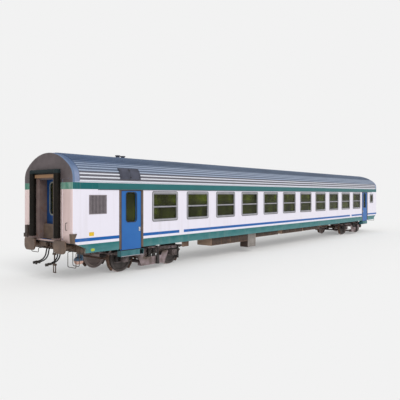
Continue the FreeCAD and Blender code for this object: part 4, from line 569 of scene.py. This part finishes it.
# enamelled plate: warm yellow, browned at the edges of its patches
YELLOW = dusty_steel("yellow_enamel_plate", "#dfb814", "#b8912a", 0.4, 0.4, 0.06)
# printed films: flat colours with a slight sheen
TEAL = dusty_steel("blue_green_film_patch", "#24757f", "#3b8089", 0.5, 0.4, 0.1)
LIME = dusty_steel("yellow_green_film_patch", "#a3b23c", "#8a9a3c", 0.4, 0.4, 0.05)
# drawn and polished steel: bright, mirrors what is round it
BRIGHT = surface("polished_stainless_handle_steel", colour("#cfd0d2"), 0.25, 1.0)
# sprayed enamel: the green of the band; its lower edge painted reddish grey, a painted shadow line under the
# strip
RAIN_GREEN = dusty_steel("green_enamel_on_rain_strip", "#055d5f", "#10686b", 0.5, 0.4, 0.4,
                         spots=[("#7d6d70", ("Z", RAIL + 2.80, RAIL + 2.858))])
# brown enamel on the lids, painted darker than the boxes as painted shade under the floor
LID_BROWN = dusty_steel("brown_lid_enamel_with_painted_shade", "#3a2c24", "#56453a", 0.6, rust="#5a3b2b")
# enamel on small fittings at the ends: brown under soot
SOOTY_BROWN = dusty_steel("sooty_brown_enamel", "#54443a", "#74604f", 0.6)
# cast boxes and pressed steps: sooty, finely pitted
SOOTY_IRON = dusty_steel("sooty_cast_box_iron", "#332a25", "#5b4b42", 0.6, 0.7, 0.12)
# forged iron kept oiled: almost black
BLACK_IRON = dusty_steel("black_oiled_iron", "#1d1917", "#3c332d", 0.5, 0.6, 0.08)

for part in frame["record"]["subparts"]:
    node = frame["nodes"][part["node"]]
    node.data.materials.clear()
    node.data.materials.append(FINISHES[part["material_slot"]])
OWN_FINISHES = {
    "gangway_portals": PORTAL_PAINT, "vent_grilles": GRILLE_PAINT, "hose_heads": BLACK_IRON,
    "corner_steps_and_socket_boxes": SOOTY_IRON, "converter_box": CONVERTER_PAINT,
    "fall_plate_front": SOOTY_BROWN, "fall_plate_rear": SOOTY_BROWN, "tail_lamp_brackets": SOOTY_BROWN,
    "entrance_door_frames": SOOTY_BROWN, "air_reservoirs": TANK_PAINT,
}
for name, finish in OWN_FINISHES.items():
    frame["nodes"][name].data.materials[0] = finish
for hose in hoses.values():
    hose.data.materials.append(FINISHES["hose_rubber"])


# ---- side trim: windows, doors, strips, plates ---------------------------------------------------
SIDE = -HALF_WIDTH                      # the right-hand side's sheet
WINDOW_PITCH, ROW_SHIFT = 1.83345, 0.066     # the row of windows lies a little off the middle
WINDOW_X = [ROW_SHIFT + (i - 5) * WINDOW_PITCH for i in range(11)]
WINDOW_MIDDLE = up(2.2625)
GRIP_SPREAD = 0.36                      # the drop window's two grips lie this far from its middle
DOOR_X, HANDLE_X = 10.725, 10.36
STRIP_END = 12.11                       # the rain strip ends here
side_windows = both_ways(*[shift(x) for x in WINDOW_X])
doors = both_ways(shift(-DOOR_X), shift(DOOR_X))

gasket = plate("window_gaskets", "right", (0, SIDE - 0.002, WINDOW_MIDDLE), 1.326, 1.091, 0.075, 0.006,
               band=0.02)
dress(repeated("window_gaskets", gasket, side_windows), GASKET)
gasket = plate("washroom_window_gaskets", "right", (12.035, SIDE - 0.002, up(2.4)), 0.666, 0.666, 0.07,
               0.006, band=0.015)
dress(repeated("washroom_window_gaskets", gasket, both_ways(shift())), GASKET)
for name, low, high in (("upper", 2.275, 2.731), ("lower", 1.80, 2.219)):
    bead = plate(name + "_pane_beads", "right", (0, SIDE - 0.004, up((low + high) / 2)), 1.172,
                 high - low, 0.035, 0.005, band=0.011)
    dress(repeated(name + "_pane_beads", bead, side_windows), GASKET)
grip = block("drop_window_grips", (-0.05, SIDE - 0.026, up(2.24)), (0.05, SIDE - 0.006, up(2.262)), 0.005)
places = both_ways(*[shift(x + d) for x in WINDOW_X for d in (-GRIP_SPREAD, GRIP_SPREAD)])
dress(repeated("drop_window_grips", grip, places), BRIGHT)

seal = plate("door_seals", "right", (0, SIDE + 0.008, up(1.821)), 0.894, 2.022, 0.03, 0.007, band=0.018)
dress(repeated("door_seals", seal, doors), GASKET)
seal = plate("door_window_gaskets", "right", (0, SIDE + 0.007, WINDOW_MIDDLE), 0.492, 1.037, 0.11, 0.006,
             band=0.028, segments=8)
dress(repeated("door_window_gaskets", seal, doors), GASKET)
cup = plate("door_handle_cups", "right", (0, SIDE + 0.007, up(1.5)), 0.08, 0.15, 0.02, 0.005)
handles = both_ways(shift(-HANDLE_X), shift(HANDLE_X))
dress(repeated("door_handle_cups", dished(cup, 0.012, 0.004), handles), BRIGHT)
lever = bent_bar("door_handles", [(0, SIDE + 0.004, up(1.43)), (0, SIDE - 0.024, up(1.43)),
                                  (0, SIDE - 0.024, up(1.57)), (0, SIDE + 0.004, up(1.57))], 0.008, 0.012)
dress(repeated("door_handles", lever, handles), BRIGHT)

strip = block("rain_strips", (-STRIP_END, SIDE - 0.006, up(2.845)), (STRIP_END, SIDE + 0.004, up(3.062)),
              0.002, 1)
dress(repeated("rain_strips", strip, both_ways(shift())), RAIN_GREEN)
lip = block("rain_strip_lips", (-STRIP_END, SIDE - 0.016, up(2.842)), (STRIP_END, SIDE + 0.002, up(2.854)),
            0.003)
dress(repeated("rain_strip_lips", lip, both_ways(shift())), FINISHES["dark_grey_paint"])

board = plate("yellow_plate", "right", (-12.36, SIDE - 0.001, up(1.45)), 0.18, 0.12, 0.012, 0.003)
dress(repeated("yellow_plate", dished(board, 0.008, 0.0015), both_ways(shift())), YELLOW)
patch = plate("blank_patch", "right", (-12.315, SIDE - 0.001, up(0.95)), 0.22, 0.13, 0.01, 0.002)
dress(repeated("blank_patch", patch, both_ways(shift())), TEAL)
patch = plate("blank_oval", "right", (-12.315, SIDE - 0.003, up(0.95)), 0.15, 0.09, 0.044, 0.002, segments=10)
dress(repeated("blank_oval", patch, both_ways(shift())), LIME)

# ---- entrance steps: nosings and tread bars --------------------------------------------------------
STEP_IN, STEP_OUT = 10.1795, 11.170
BAR_PITCH = 0.018
places = both_ways(shift(), shift(STEP_IN + STEP_OUT))
nose = block("step_nosings", (-STEP_OUT, SIDE - 0.004, up(0.598)), (-STEP_IN, SIDE + 0.012, up(0.622)),
             0.004)
dress(repeated("step_nosings", nose, places), FINISHES["window_aluminium"])
tread = block("step_tread_bars", (-11.15, SIDE + 0.02, up(0.800)), (-10.36, SIDE + 0.028, up(0.806)),
              0.0015, 1)
bars = repeated("step_tread_bars", tread, [shift(0, BAR_PITCH * i) for i in range(8)])
dress(repeated("step_tread_bars", bars, places), BLACK_IRON)

# ---- roof: catches of the hatches ------------------------------------------------------------------
HATCH_X = -10.787
CATCH_LOW, CATCH_HIGH, CATCH_R = 0.03, 0.048, 0.016     # a catch stands off the roof sheet


def on_shoulder(angle, lift):
    """A place on the roof's right shoulder at an angle up from level, lift metres off its sheet."""
    reach = SHOULDER_R + lift
    return -SHOULDER_Y - reach * math.cos(angle), SHOULDER_Z + reach * math.sin(angle)


catches = []
for x in (-0.43, -0.02, 0.02, 0.43):
    x = HATCH_X + x * 0.95
    for degrees in (8, 34):
        foot = (x, *on_shoulder(math.radians(degrees), CATCH_LOW))
        head = (x, *on_shoulder(math.radians(degrees), CATCH_HIGH))
        catches.append(drum("catch", foot, head, CATCH_R, 8, 0.004))
dress(joined("roof_hatch_catches", catches), BLACK_IRON)

# ---- end walls: cover strips, rivets, grab loops --------------------------------------------------
END = -HALF_LENGTH
ends = [turn for end, turn in ENDS]
STRIP_Y = (-1.33, -0.87, 0.87, 1.33)
RIVET_PITCH = 0.15
strips = [block("strip", (END - 0.008, y - 0.02, up(1.30)), (END + 0.002, y + 0.02, up(3.18)), 0.003)
          for y in STRIP_Y]
strips.append(block("strip", (END - 0.008, -1.2, up(3.17)), (END + 0.002, 1.2, up(3.205)), 0.003))
strips = joined("strips", strips)
dress(repeated("end_wall_cover_strips", strips, ends), FINISHES["end_paint"])
rivet = drum("rivets", (END - 0.006, 0, 0), (END - 0.012, 0, 0), 0.006, 8, 0.002)
rows = [shift(0, y, up(1.36 + RIVET_PITCH * i)) for y in STRIP_Y for i in range(12)]
rivets = repeated("end_wall_rivets", rivet, rows)
dress(repeated("end_wall_rivets", rivets, ends), FINISHES["end_paint"])
LOOP_Y, LOOP_LOW, LOOP_HIGH, LOOP_REACH = -1.13, up(1.60), up(1.82), 0.055
loop = bent_bar("end_grab_loops", [(END + 0.002, LOOP_Y, LOOP_LOW), (END - LOOP_REACH, LOOP_Y, LOOP_LOW),
                                   (END - LOOP_REACH, LOOP_Y, LOOP_HIGH), (END + 0.002, LOOP_Y, LOOP_HIGH)],
                0.009, 0.02)
dress(repeated("end_grab_loops", loop, ends), BLACK_IRON)

# ---- gangway: tube clamps, door gasket and handle cup, fall plate ribs ------------------------------
TUBE_X, TUBE_Y, CLAMP_R, CLAMP_HEIGHT = -13.155, 0.715, 0.0935, 0.025
clamps = []
for y in (-TUBE_Y, TUBE_Y):
    for height in (1.42, 2.0, 2.6, 3.2):
        clamps.append(drum("clamp", (TUBE_X, y, up(height)), (TUBE_X, y, up(height + CLAMP_HEIGHT)),
                           CLAMP_R, 32, 0.004))
clamps = joined("clamps", clamps)
dress(repeated("bellows_clamp_bands", clamps, ends), FINISHES["black_rubber"])
LEAF = -12.802          # outer face of the gangway door's leaf
LEAF_TRIM = 0.004       # flat enough to pass behind the portal as the leaf slides
for end, turn in ENDS:
    body = "gangway_door_" + end
    ring = plate("leaf_gasket_" + end, "front", (LEAF + 0.001, 0, up(2.56)), 0.52, 1.10, 0.15, LEAF_TRIM,
                 band=0.042, segments=8)
    dress(repeated("leaf_gasket_" + end, ring, [turn]), PALE_GASKET, body)
    place = (LEAF + 0.001, -0.335, up(2.24))
    rim = plate("rim", "front", place, 0.075, 0.21, 0.03, LEAF_TRIM, band=0.012)
    cup = joined("leaf_handle", [rim, plate("dish", "front", place, 0.06, 0.195, 0.024, LEAF_TRIM / 2)])
    dress(repeated("leaf_handle_" + end, cup, [turn]), BRIGHT, body)
PLATE_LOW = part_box("fall_plate_front")[0]
PLATE_X, PLATE_Z = PLATE_LOW[0], PLATE_LOW[2]
RIB_PITCH, RIB_REACH = 0.05, 0.35
ribs = [block("rib", (PLATE_X - 0.002, -RIB_REACH, PLATE_Z + 0.09 + RIB_PITCH * i),
              (PLATE_X + 0.003, RIB_REACH, PLATE_Z + 0.096 + RIB_PITCH * i), 0.0015, 1) for i in range(7)]
ribs = joined("fall_plate_ribs", ribs)
for end, turn in ENDS:
    twin = repeated("fall_plate_ribs_" + end, bpy.data.objects.new("twin", ribs.data.copy()), [turn])
    dress(twin, SOOTY_BROWN, "fall_plate_" + end)
bpy.data.objects.remove(ribs)

# ---- buffers: collars and flange bolts ---------------------------------------------------------------
BUFFER_Y, BUFFER_Z, BUFFER_BOLT = 0.875, up(1.06), 0.13
parts = [drum("collar", (-12.98, 0, BUFFER_Z), (-13.02, 0, BUFFER_Z), 0.096, 28, 0.006)]
for y in (-BUFFER_BOLT, BUFFER_BOLT):
    for z in (-BUFFER_BOLT, BUFFER_BOLT):
        parts.append(drum("bolt", (-12.720, y, BUFFER_Z + z), (-12.748, y, BUFFER_Z + z), 0.019, 6, 0.004))
buffer_trim = joined("buffer_collars", parts)
places = both_ways(shift(0, -BUFFER_Y), shift(0, BUFFER_Y))
dress(repeated("buffer_collars_and_bolts", buffer_trim, places), FINISHES["buffer_steel"])

# ---- bogies: axle-box covers and their bolts ---------------------------------------------------------
BOGIE_X, HALF_WHEELBASE, AXLE_Z = 9.5, 1.2, up(0.46)
COVER_R, BOLT_CIRCLE = 0.078, 0.058
for k, bogie_x in (("1", -BOGIE_X), ("2", BOGIE_X)):
    covers = []
    for x in (bogie_x - HALF_WHEELBASE, bogie_x + HALF_WHEELBASE):
        covers.append(drum("cover", (x, -1.127, AXLE_Z), (x, -1.138, AXLE_Z), COVER_R, 24, 0.004))
        for i in range(6):
            angle = math.radians(60 * i + 30)
            across, high = x + BOLT_CIRCLE * math.cos(angle), AXLE_Z + BOLT_CIRCLE * math.sin(angle)
            covers.append(drum("bolt", (across, -1.136, high), (across, -1.149, high), 0.011, 6, 0.002))
    middle = shift(bogie_x) @ TURN @ shift(-bogie_x)
    dress(repeated("axle_box_covers_" + k, joined("covers", covers), [Matrix.Identity(4), middle]),
          FINISHES["axle_box_iron"], "bogie_" + k)

# ---- underfloor boxes: lids, hinges and latches ------------------------------------------------------
BOXES = [   # first x, last x, underside, top, number of lids
    (-6.203, -3.572, 0.525, 0.905, 4),
    (-2.860, -0.817, 0.640, 0.905, 3),
    (-0.418, 1.777, 0.640, 0.905, 3),
    (1.872, 3.857, 0.650, 0.905, 3),
    (4.085, 5.178, 0.760, 0.905, 2),
]
lids, irons = [], []
FACE = -1.25            # the boxes' outer face
LID_GAP, HINGE_IN = 0.025, 0.12
for first, last, low, top, count in BOXES:
    step = (last - first) / count
    for i in range(count):
        a, b = first + step * i + LID_GAP, first + step * (i + 1) - LID_GAP
        lids.append(block("lid", (a, FACE - 0.010, up(low) + 0.035), (b, FACE + 0.002, up(top) - 0.01),
                          0.004))
        for x in (a + HINGE_IN, b - HINGE_IN):
            irons.append(drum("hinge", (x - 0.04, FACE - 0.012, up(top) - 0.02),
                              (x + 0.04, FACE - 0.012, up(top) - 0.02), 0.009, 8, 0.002))
        irons.append(block("latch", ((a + b) / 2 - 0.03, FACE - 0.024, up(low) + 0.055),
                           ((a + b) / 2 + 0.03, FACE - 0.008, up(low) + 0.085), 0.005))
dress(joined("underfloor_box_lids", lids), LID_BROWN)
dress(joined("underfloor_box_irons", irons), BLACK_IRON)

# ---- air tanks: straps and their bolts ---------------------------------------------------------------
TANK_Y, TANK_Z, STRAP_R, STRAP_WIDTH = 1.0, up(0.69), 0.194, 0.05
straps = []
for tank in (1.102, 2.698, 4.304):
    for along in (0.42, 0.98):
        x = tank + along
        straps.append(drum("strap", (x, TANK_Y, TANK_Z), (x + STRAP_WIDTH, TANK_Y, TANK_Z), STRAP_R, 32,
                           0.002))
        x += STRAP_WIDTH / 2
        straps.append(drum("bolt", (x, TANK_Y, up(0.49)), (x, TANK_Y, up(0.475)), 0.014, 6, 0.002))
dress(joined("air_tank_straps", straps), BLACK_IRON)


# ---- seats -------------------------------------------------------------------------------------------
def swell(piece, pressure, most):
    """Swells a pad under inner pressure as cloth; no point moves further than most."""
    before = [vertex.co.copy() for vertex in piece.data.vertices]
    cloth = piece.modifiers.new("cloth", "CLOTH")
    cloth.settings.use_pressure = True
    cloth.settings.uniform_pressure_force = pressure
    cloth.settings.effector_weights.gravity = 0
    for step in range(1, 21):
        bpy.context.scene.frame_set(step)
    alone(piece)
    bpy.ops.object.modifier_apply(modifier=cloth.name)
    bpy.context.scene.frame_set(1)
    for vertex, old in zip(piece.data.vertices, before):
        moved = vertex.co - old
        if moved.length > most:
            vertex.co = old + moved * (most / moved.length)


SEAT_Z = up(1.25)       # the floor
AISLE_Y, WALL_Y = 0.31, 1.322
PAD_LOW, PAD_HIGH, BACK_HIGH = SEAT_Z + 0.345, SEAT_Z + 0.435, SEAT_Z + 1.13
PAD_EDGE, VOXEL, KEPT_FACES = 0.03, 0.022, 0.4
SWELL_PRESSURE, SWELL_MOST = 4.0, 0.013
SEAM_Y, SEAM_HALF, SEAM_DEPTH = 0.816, 0.013, 0.012
seat = block("seat", (0.125, AISLE_Y, PAD_LOW), (0.565, WALL_Y, PAD_HIGH), PAD_EDGE, 3)
back = block("seat_back", (0.015, AISLE_Y, PAD_LOW), (0.12, WALL_Y, BACK_HIGH), PAD_EDGE, 3)
alone(back)
bpy.ops.object.mode_set(mode="EDIT")
pick(lambda middle, normal: middle.z > SEAT_Z + 1.05)
bpy.ops.transform.resize(value=(0.5, 1, 1), center_override=(0.015, 0.8, SEAT_Z + 1.1))
bpy.ops.object.mode_set(mode="OBJECT")
bench = joined("bench", [seat, back])
shell = bench.modifiers.new("skin", "REMESH")
shell.mode = "VOXEL"
shell.voxel_size = VOXEL
alone(bench)
bpy.ops.object.modifier_apply(modifier=shell.name)
swell(bench, SWELL_PRESSURE, SWELL_MOST)
alone(bench)
bpy.ops.object.mode_set(mode="EDIT")
pick(lambda middle, normal: abs(middle.y - SEAM_Y) < SEAM_HALF)     # the seam between the two places
bpy.ops.transform.shrink_fatten(value=-SEAM_DEPTH)
bpy.ops.object.mode_set(mode="OBJECT")
thin = bench.modifiers.new("fewer_faces", "DECIMATE")
thin.ratio = KEPT_FACES
bpy.ops.object.modifier_apply(modifier=thin.name)

BENCH_ROWS, BENCH_ROW_END, HALF_GAP = 12, 9.94, 0.012
for i in range(BENCH_ROWS):
    for side in (-1, 1):
        place = (i - (BENCH_ROWS - 1) / 2) * WINDOW_PITCH - side * ROW_SHIFT
        place = max(-BENCH_ROW_END, min(BENCH_ROW_END, place))
        for facing in (-1, 1):
            if (i == 0 and facing < 0) or (i == BENCH_ROWS - 1 and facing > 0):
                continue                # a washroom or vestibule wall stands here
            twin = bench.copy()
            twin.data = bench.data.copy()
            twin.data.transform(shift(place + facing * HALF_GAP) @ Matrix.Diagonal((facing, side, 1, 1)))
            if facing * side < 0:
                twin.data.flip_normals()
            bpy.context.scene.collection.objects.link(twin)
            twin.name = twin.data.name = "bench_{}_{}_{}".format(
                i + 1, "right" if side < 0 else "left", "rear" if facing > 0 else "front")
            dress(twin, FINISHES["seat_vinyl"])
            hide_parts("benches")
bpy.data.objects.remove(bench)


# ---- studio ----------------------------------------------------------------------------------
scene = bpy.context.scene
scene.view_settings.view_transform = "Standard"
BACKGROUND = "#f2f2f2"
SKY_LIGHT, KEY_LIGHT, KEY_SOFTNESS = 0.66, 1.5, 35      # strengths, and the key's width in degrees
KEY_FROM = (-0.28, -0.80, 0.62)

bpy.ops.mesh.primitive_plane_add(size=400, location=(0, 0, 0))
ground = bpy.context.object
ground.name = "studio_floor"
paper = bpy.data.materials.new("pale_studio_floor")
paper.use_nodes = True
tree = paper.node_tree
diffuse = tree.nodes["Principled BSDF"]
diffuse.inputs["Base Color"].default_value = colour("#f9f9f8")
diffuse.inputs["Roughness"].default_value = 0.9
place = add(tree, "ShaderNodeTexCoord").outputs["Object"]
near = add(tree, "ShaderNodeMapping", {"Vector": place, "Scale": (1 / 26, 1 / 9, 1)}).outputs[0]
far = add(tree, "ShaderNodeVectorMath", {0: near}, operation="LENGTH").outputs["Value"]
far = add(tree, "ShaderNodeMapRange", {"Value": far, "From Min": 0.42, "From Max": 1.2, "To Min": 0.32},
          interpolation_type="SMOOTHSTEP").outputs["Result"]
path = add(tree, "ShaderNodeLightPath")
seen = add(tree, "ShaderNodeMath", {0: path.outputs["Is Camera Ray"],
                                    1: path.outputs["Is Transmission Ray"]}, operation="MAXIMUM").outputs[0]
plain = add(tree, "ShaderNodeEmission", {"Color": colour(BACKGROUND), "Strength": 1.0})
share = add(tree, "ShaderNodeMath", {0: far, 1: seen}, operation="MULTIPLY").outputs[0]
blend = add(tree, "ShaderNodeMixShader", {0: share, 1: diffuse.outputs[0], 2: plain.outputs[0]})
tree.links.new(blend.outputs[0], tree.nodes["Material Output"].inputs["Surface"])
ground.data.materials.append(paper)

world = scene.world or bpy.data.worlds.new("world")
scene.world = world
world.use_nodes = True
tree = world.node_tree
sky = tree.nodes["Background"]
sky.inputs["Color"].default_value = colour("#ffffff")
sky.inputs["Strength"].default_value = SKY_LIGHT
backdrop = add(tree, "ShaderNodeBackground", {"Color": colour(BACKGROUND), "Strength": 1.0})
path = add(tree, "ShaderNodeLightPath")
direct = add(tree, "ShaderNodeMath", {0: path.outputs["Is Camera Ray"],
                                      1: path.outputs["Is Transmission Ray"]}, operation="MAXIMUM")
blend = add(tree, "ShaderNodeMixShader", {0: direct.outputs[0], 1: sky.outputs[0],
                                          2: backdrop.outputs[0]})
tree.links.new(blend.outputs[0], tree.nodes["World Output"].inputs["Surface"])

sun_data = bpy.data.lights.new("soft_key", "SUN")
sun_data.energy = KEY_LIGHT
sun_data.angle = math.radians(KEY_SOFTNESS)
sun = bpy.data.objects.new("soft_key", sun_data)
scene.collection.objects.link(sun)
sun.rotation_euler = Vector(KEY_FROM).to_track_quat("Z", "Y").to_euler()

bpy.context.view_layer.update()
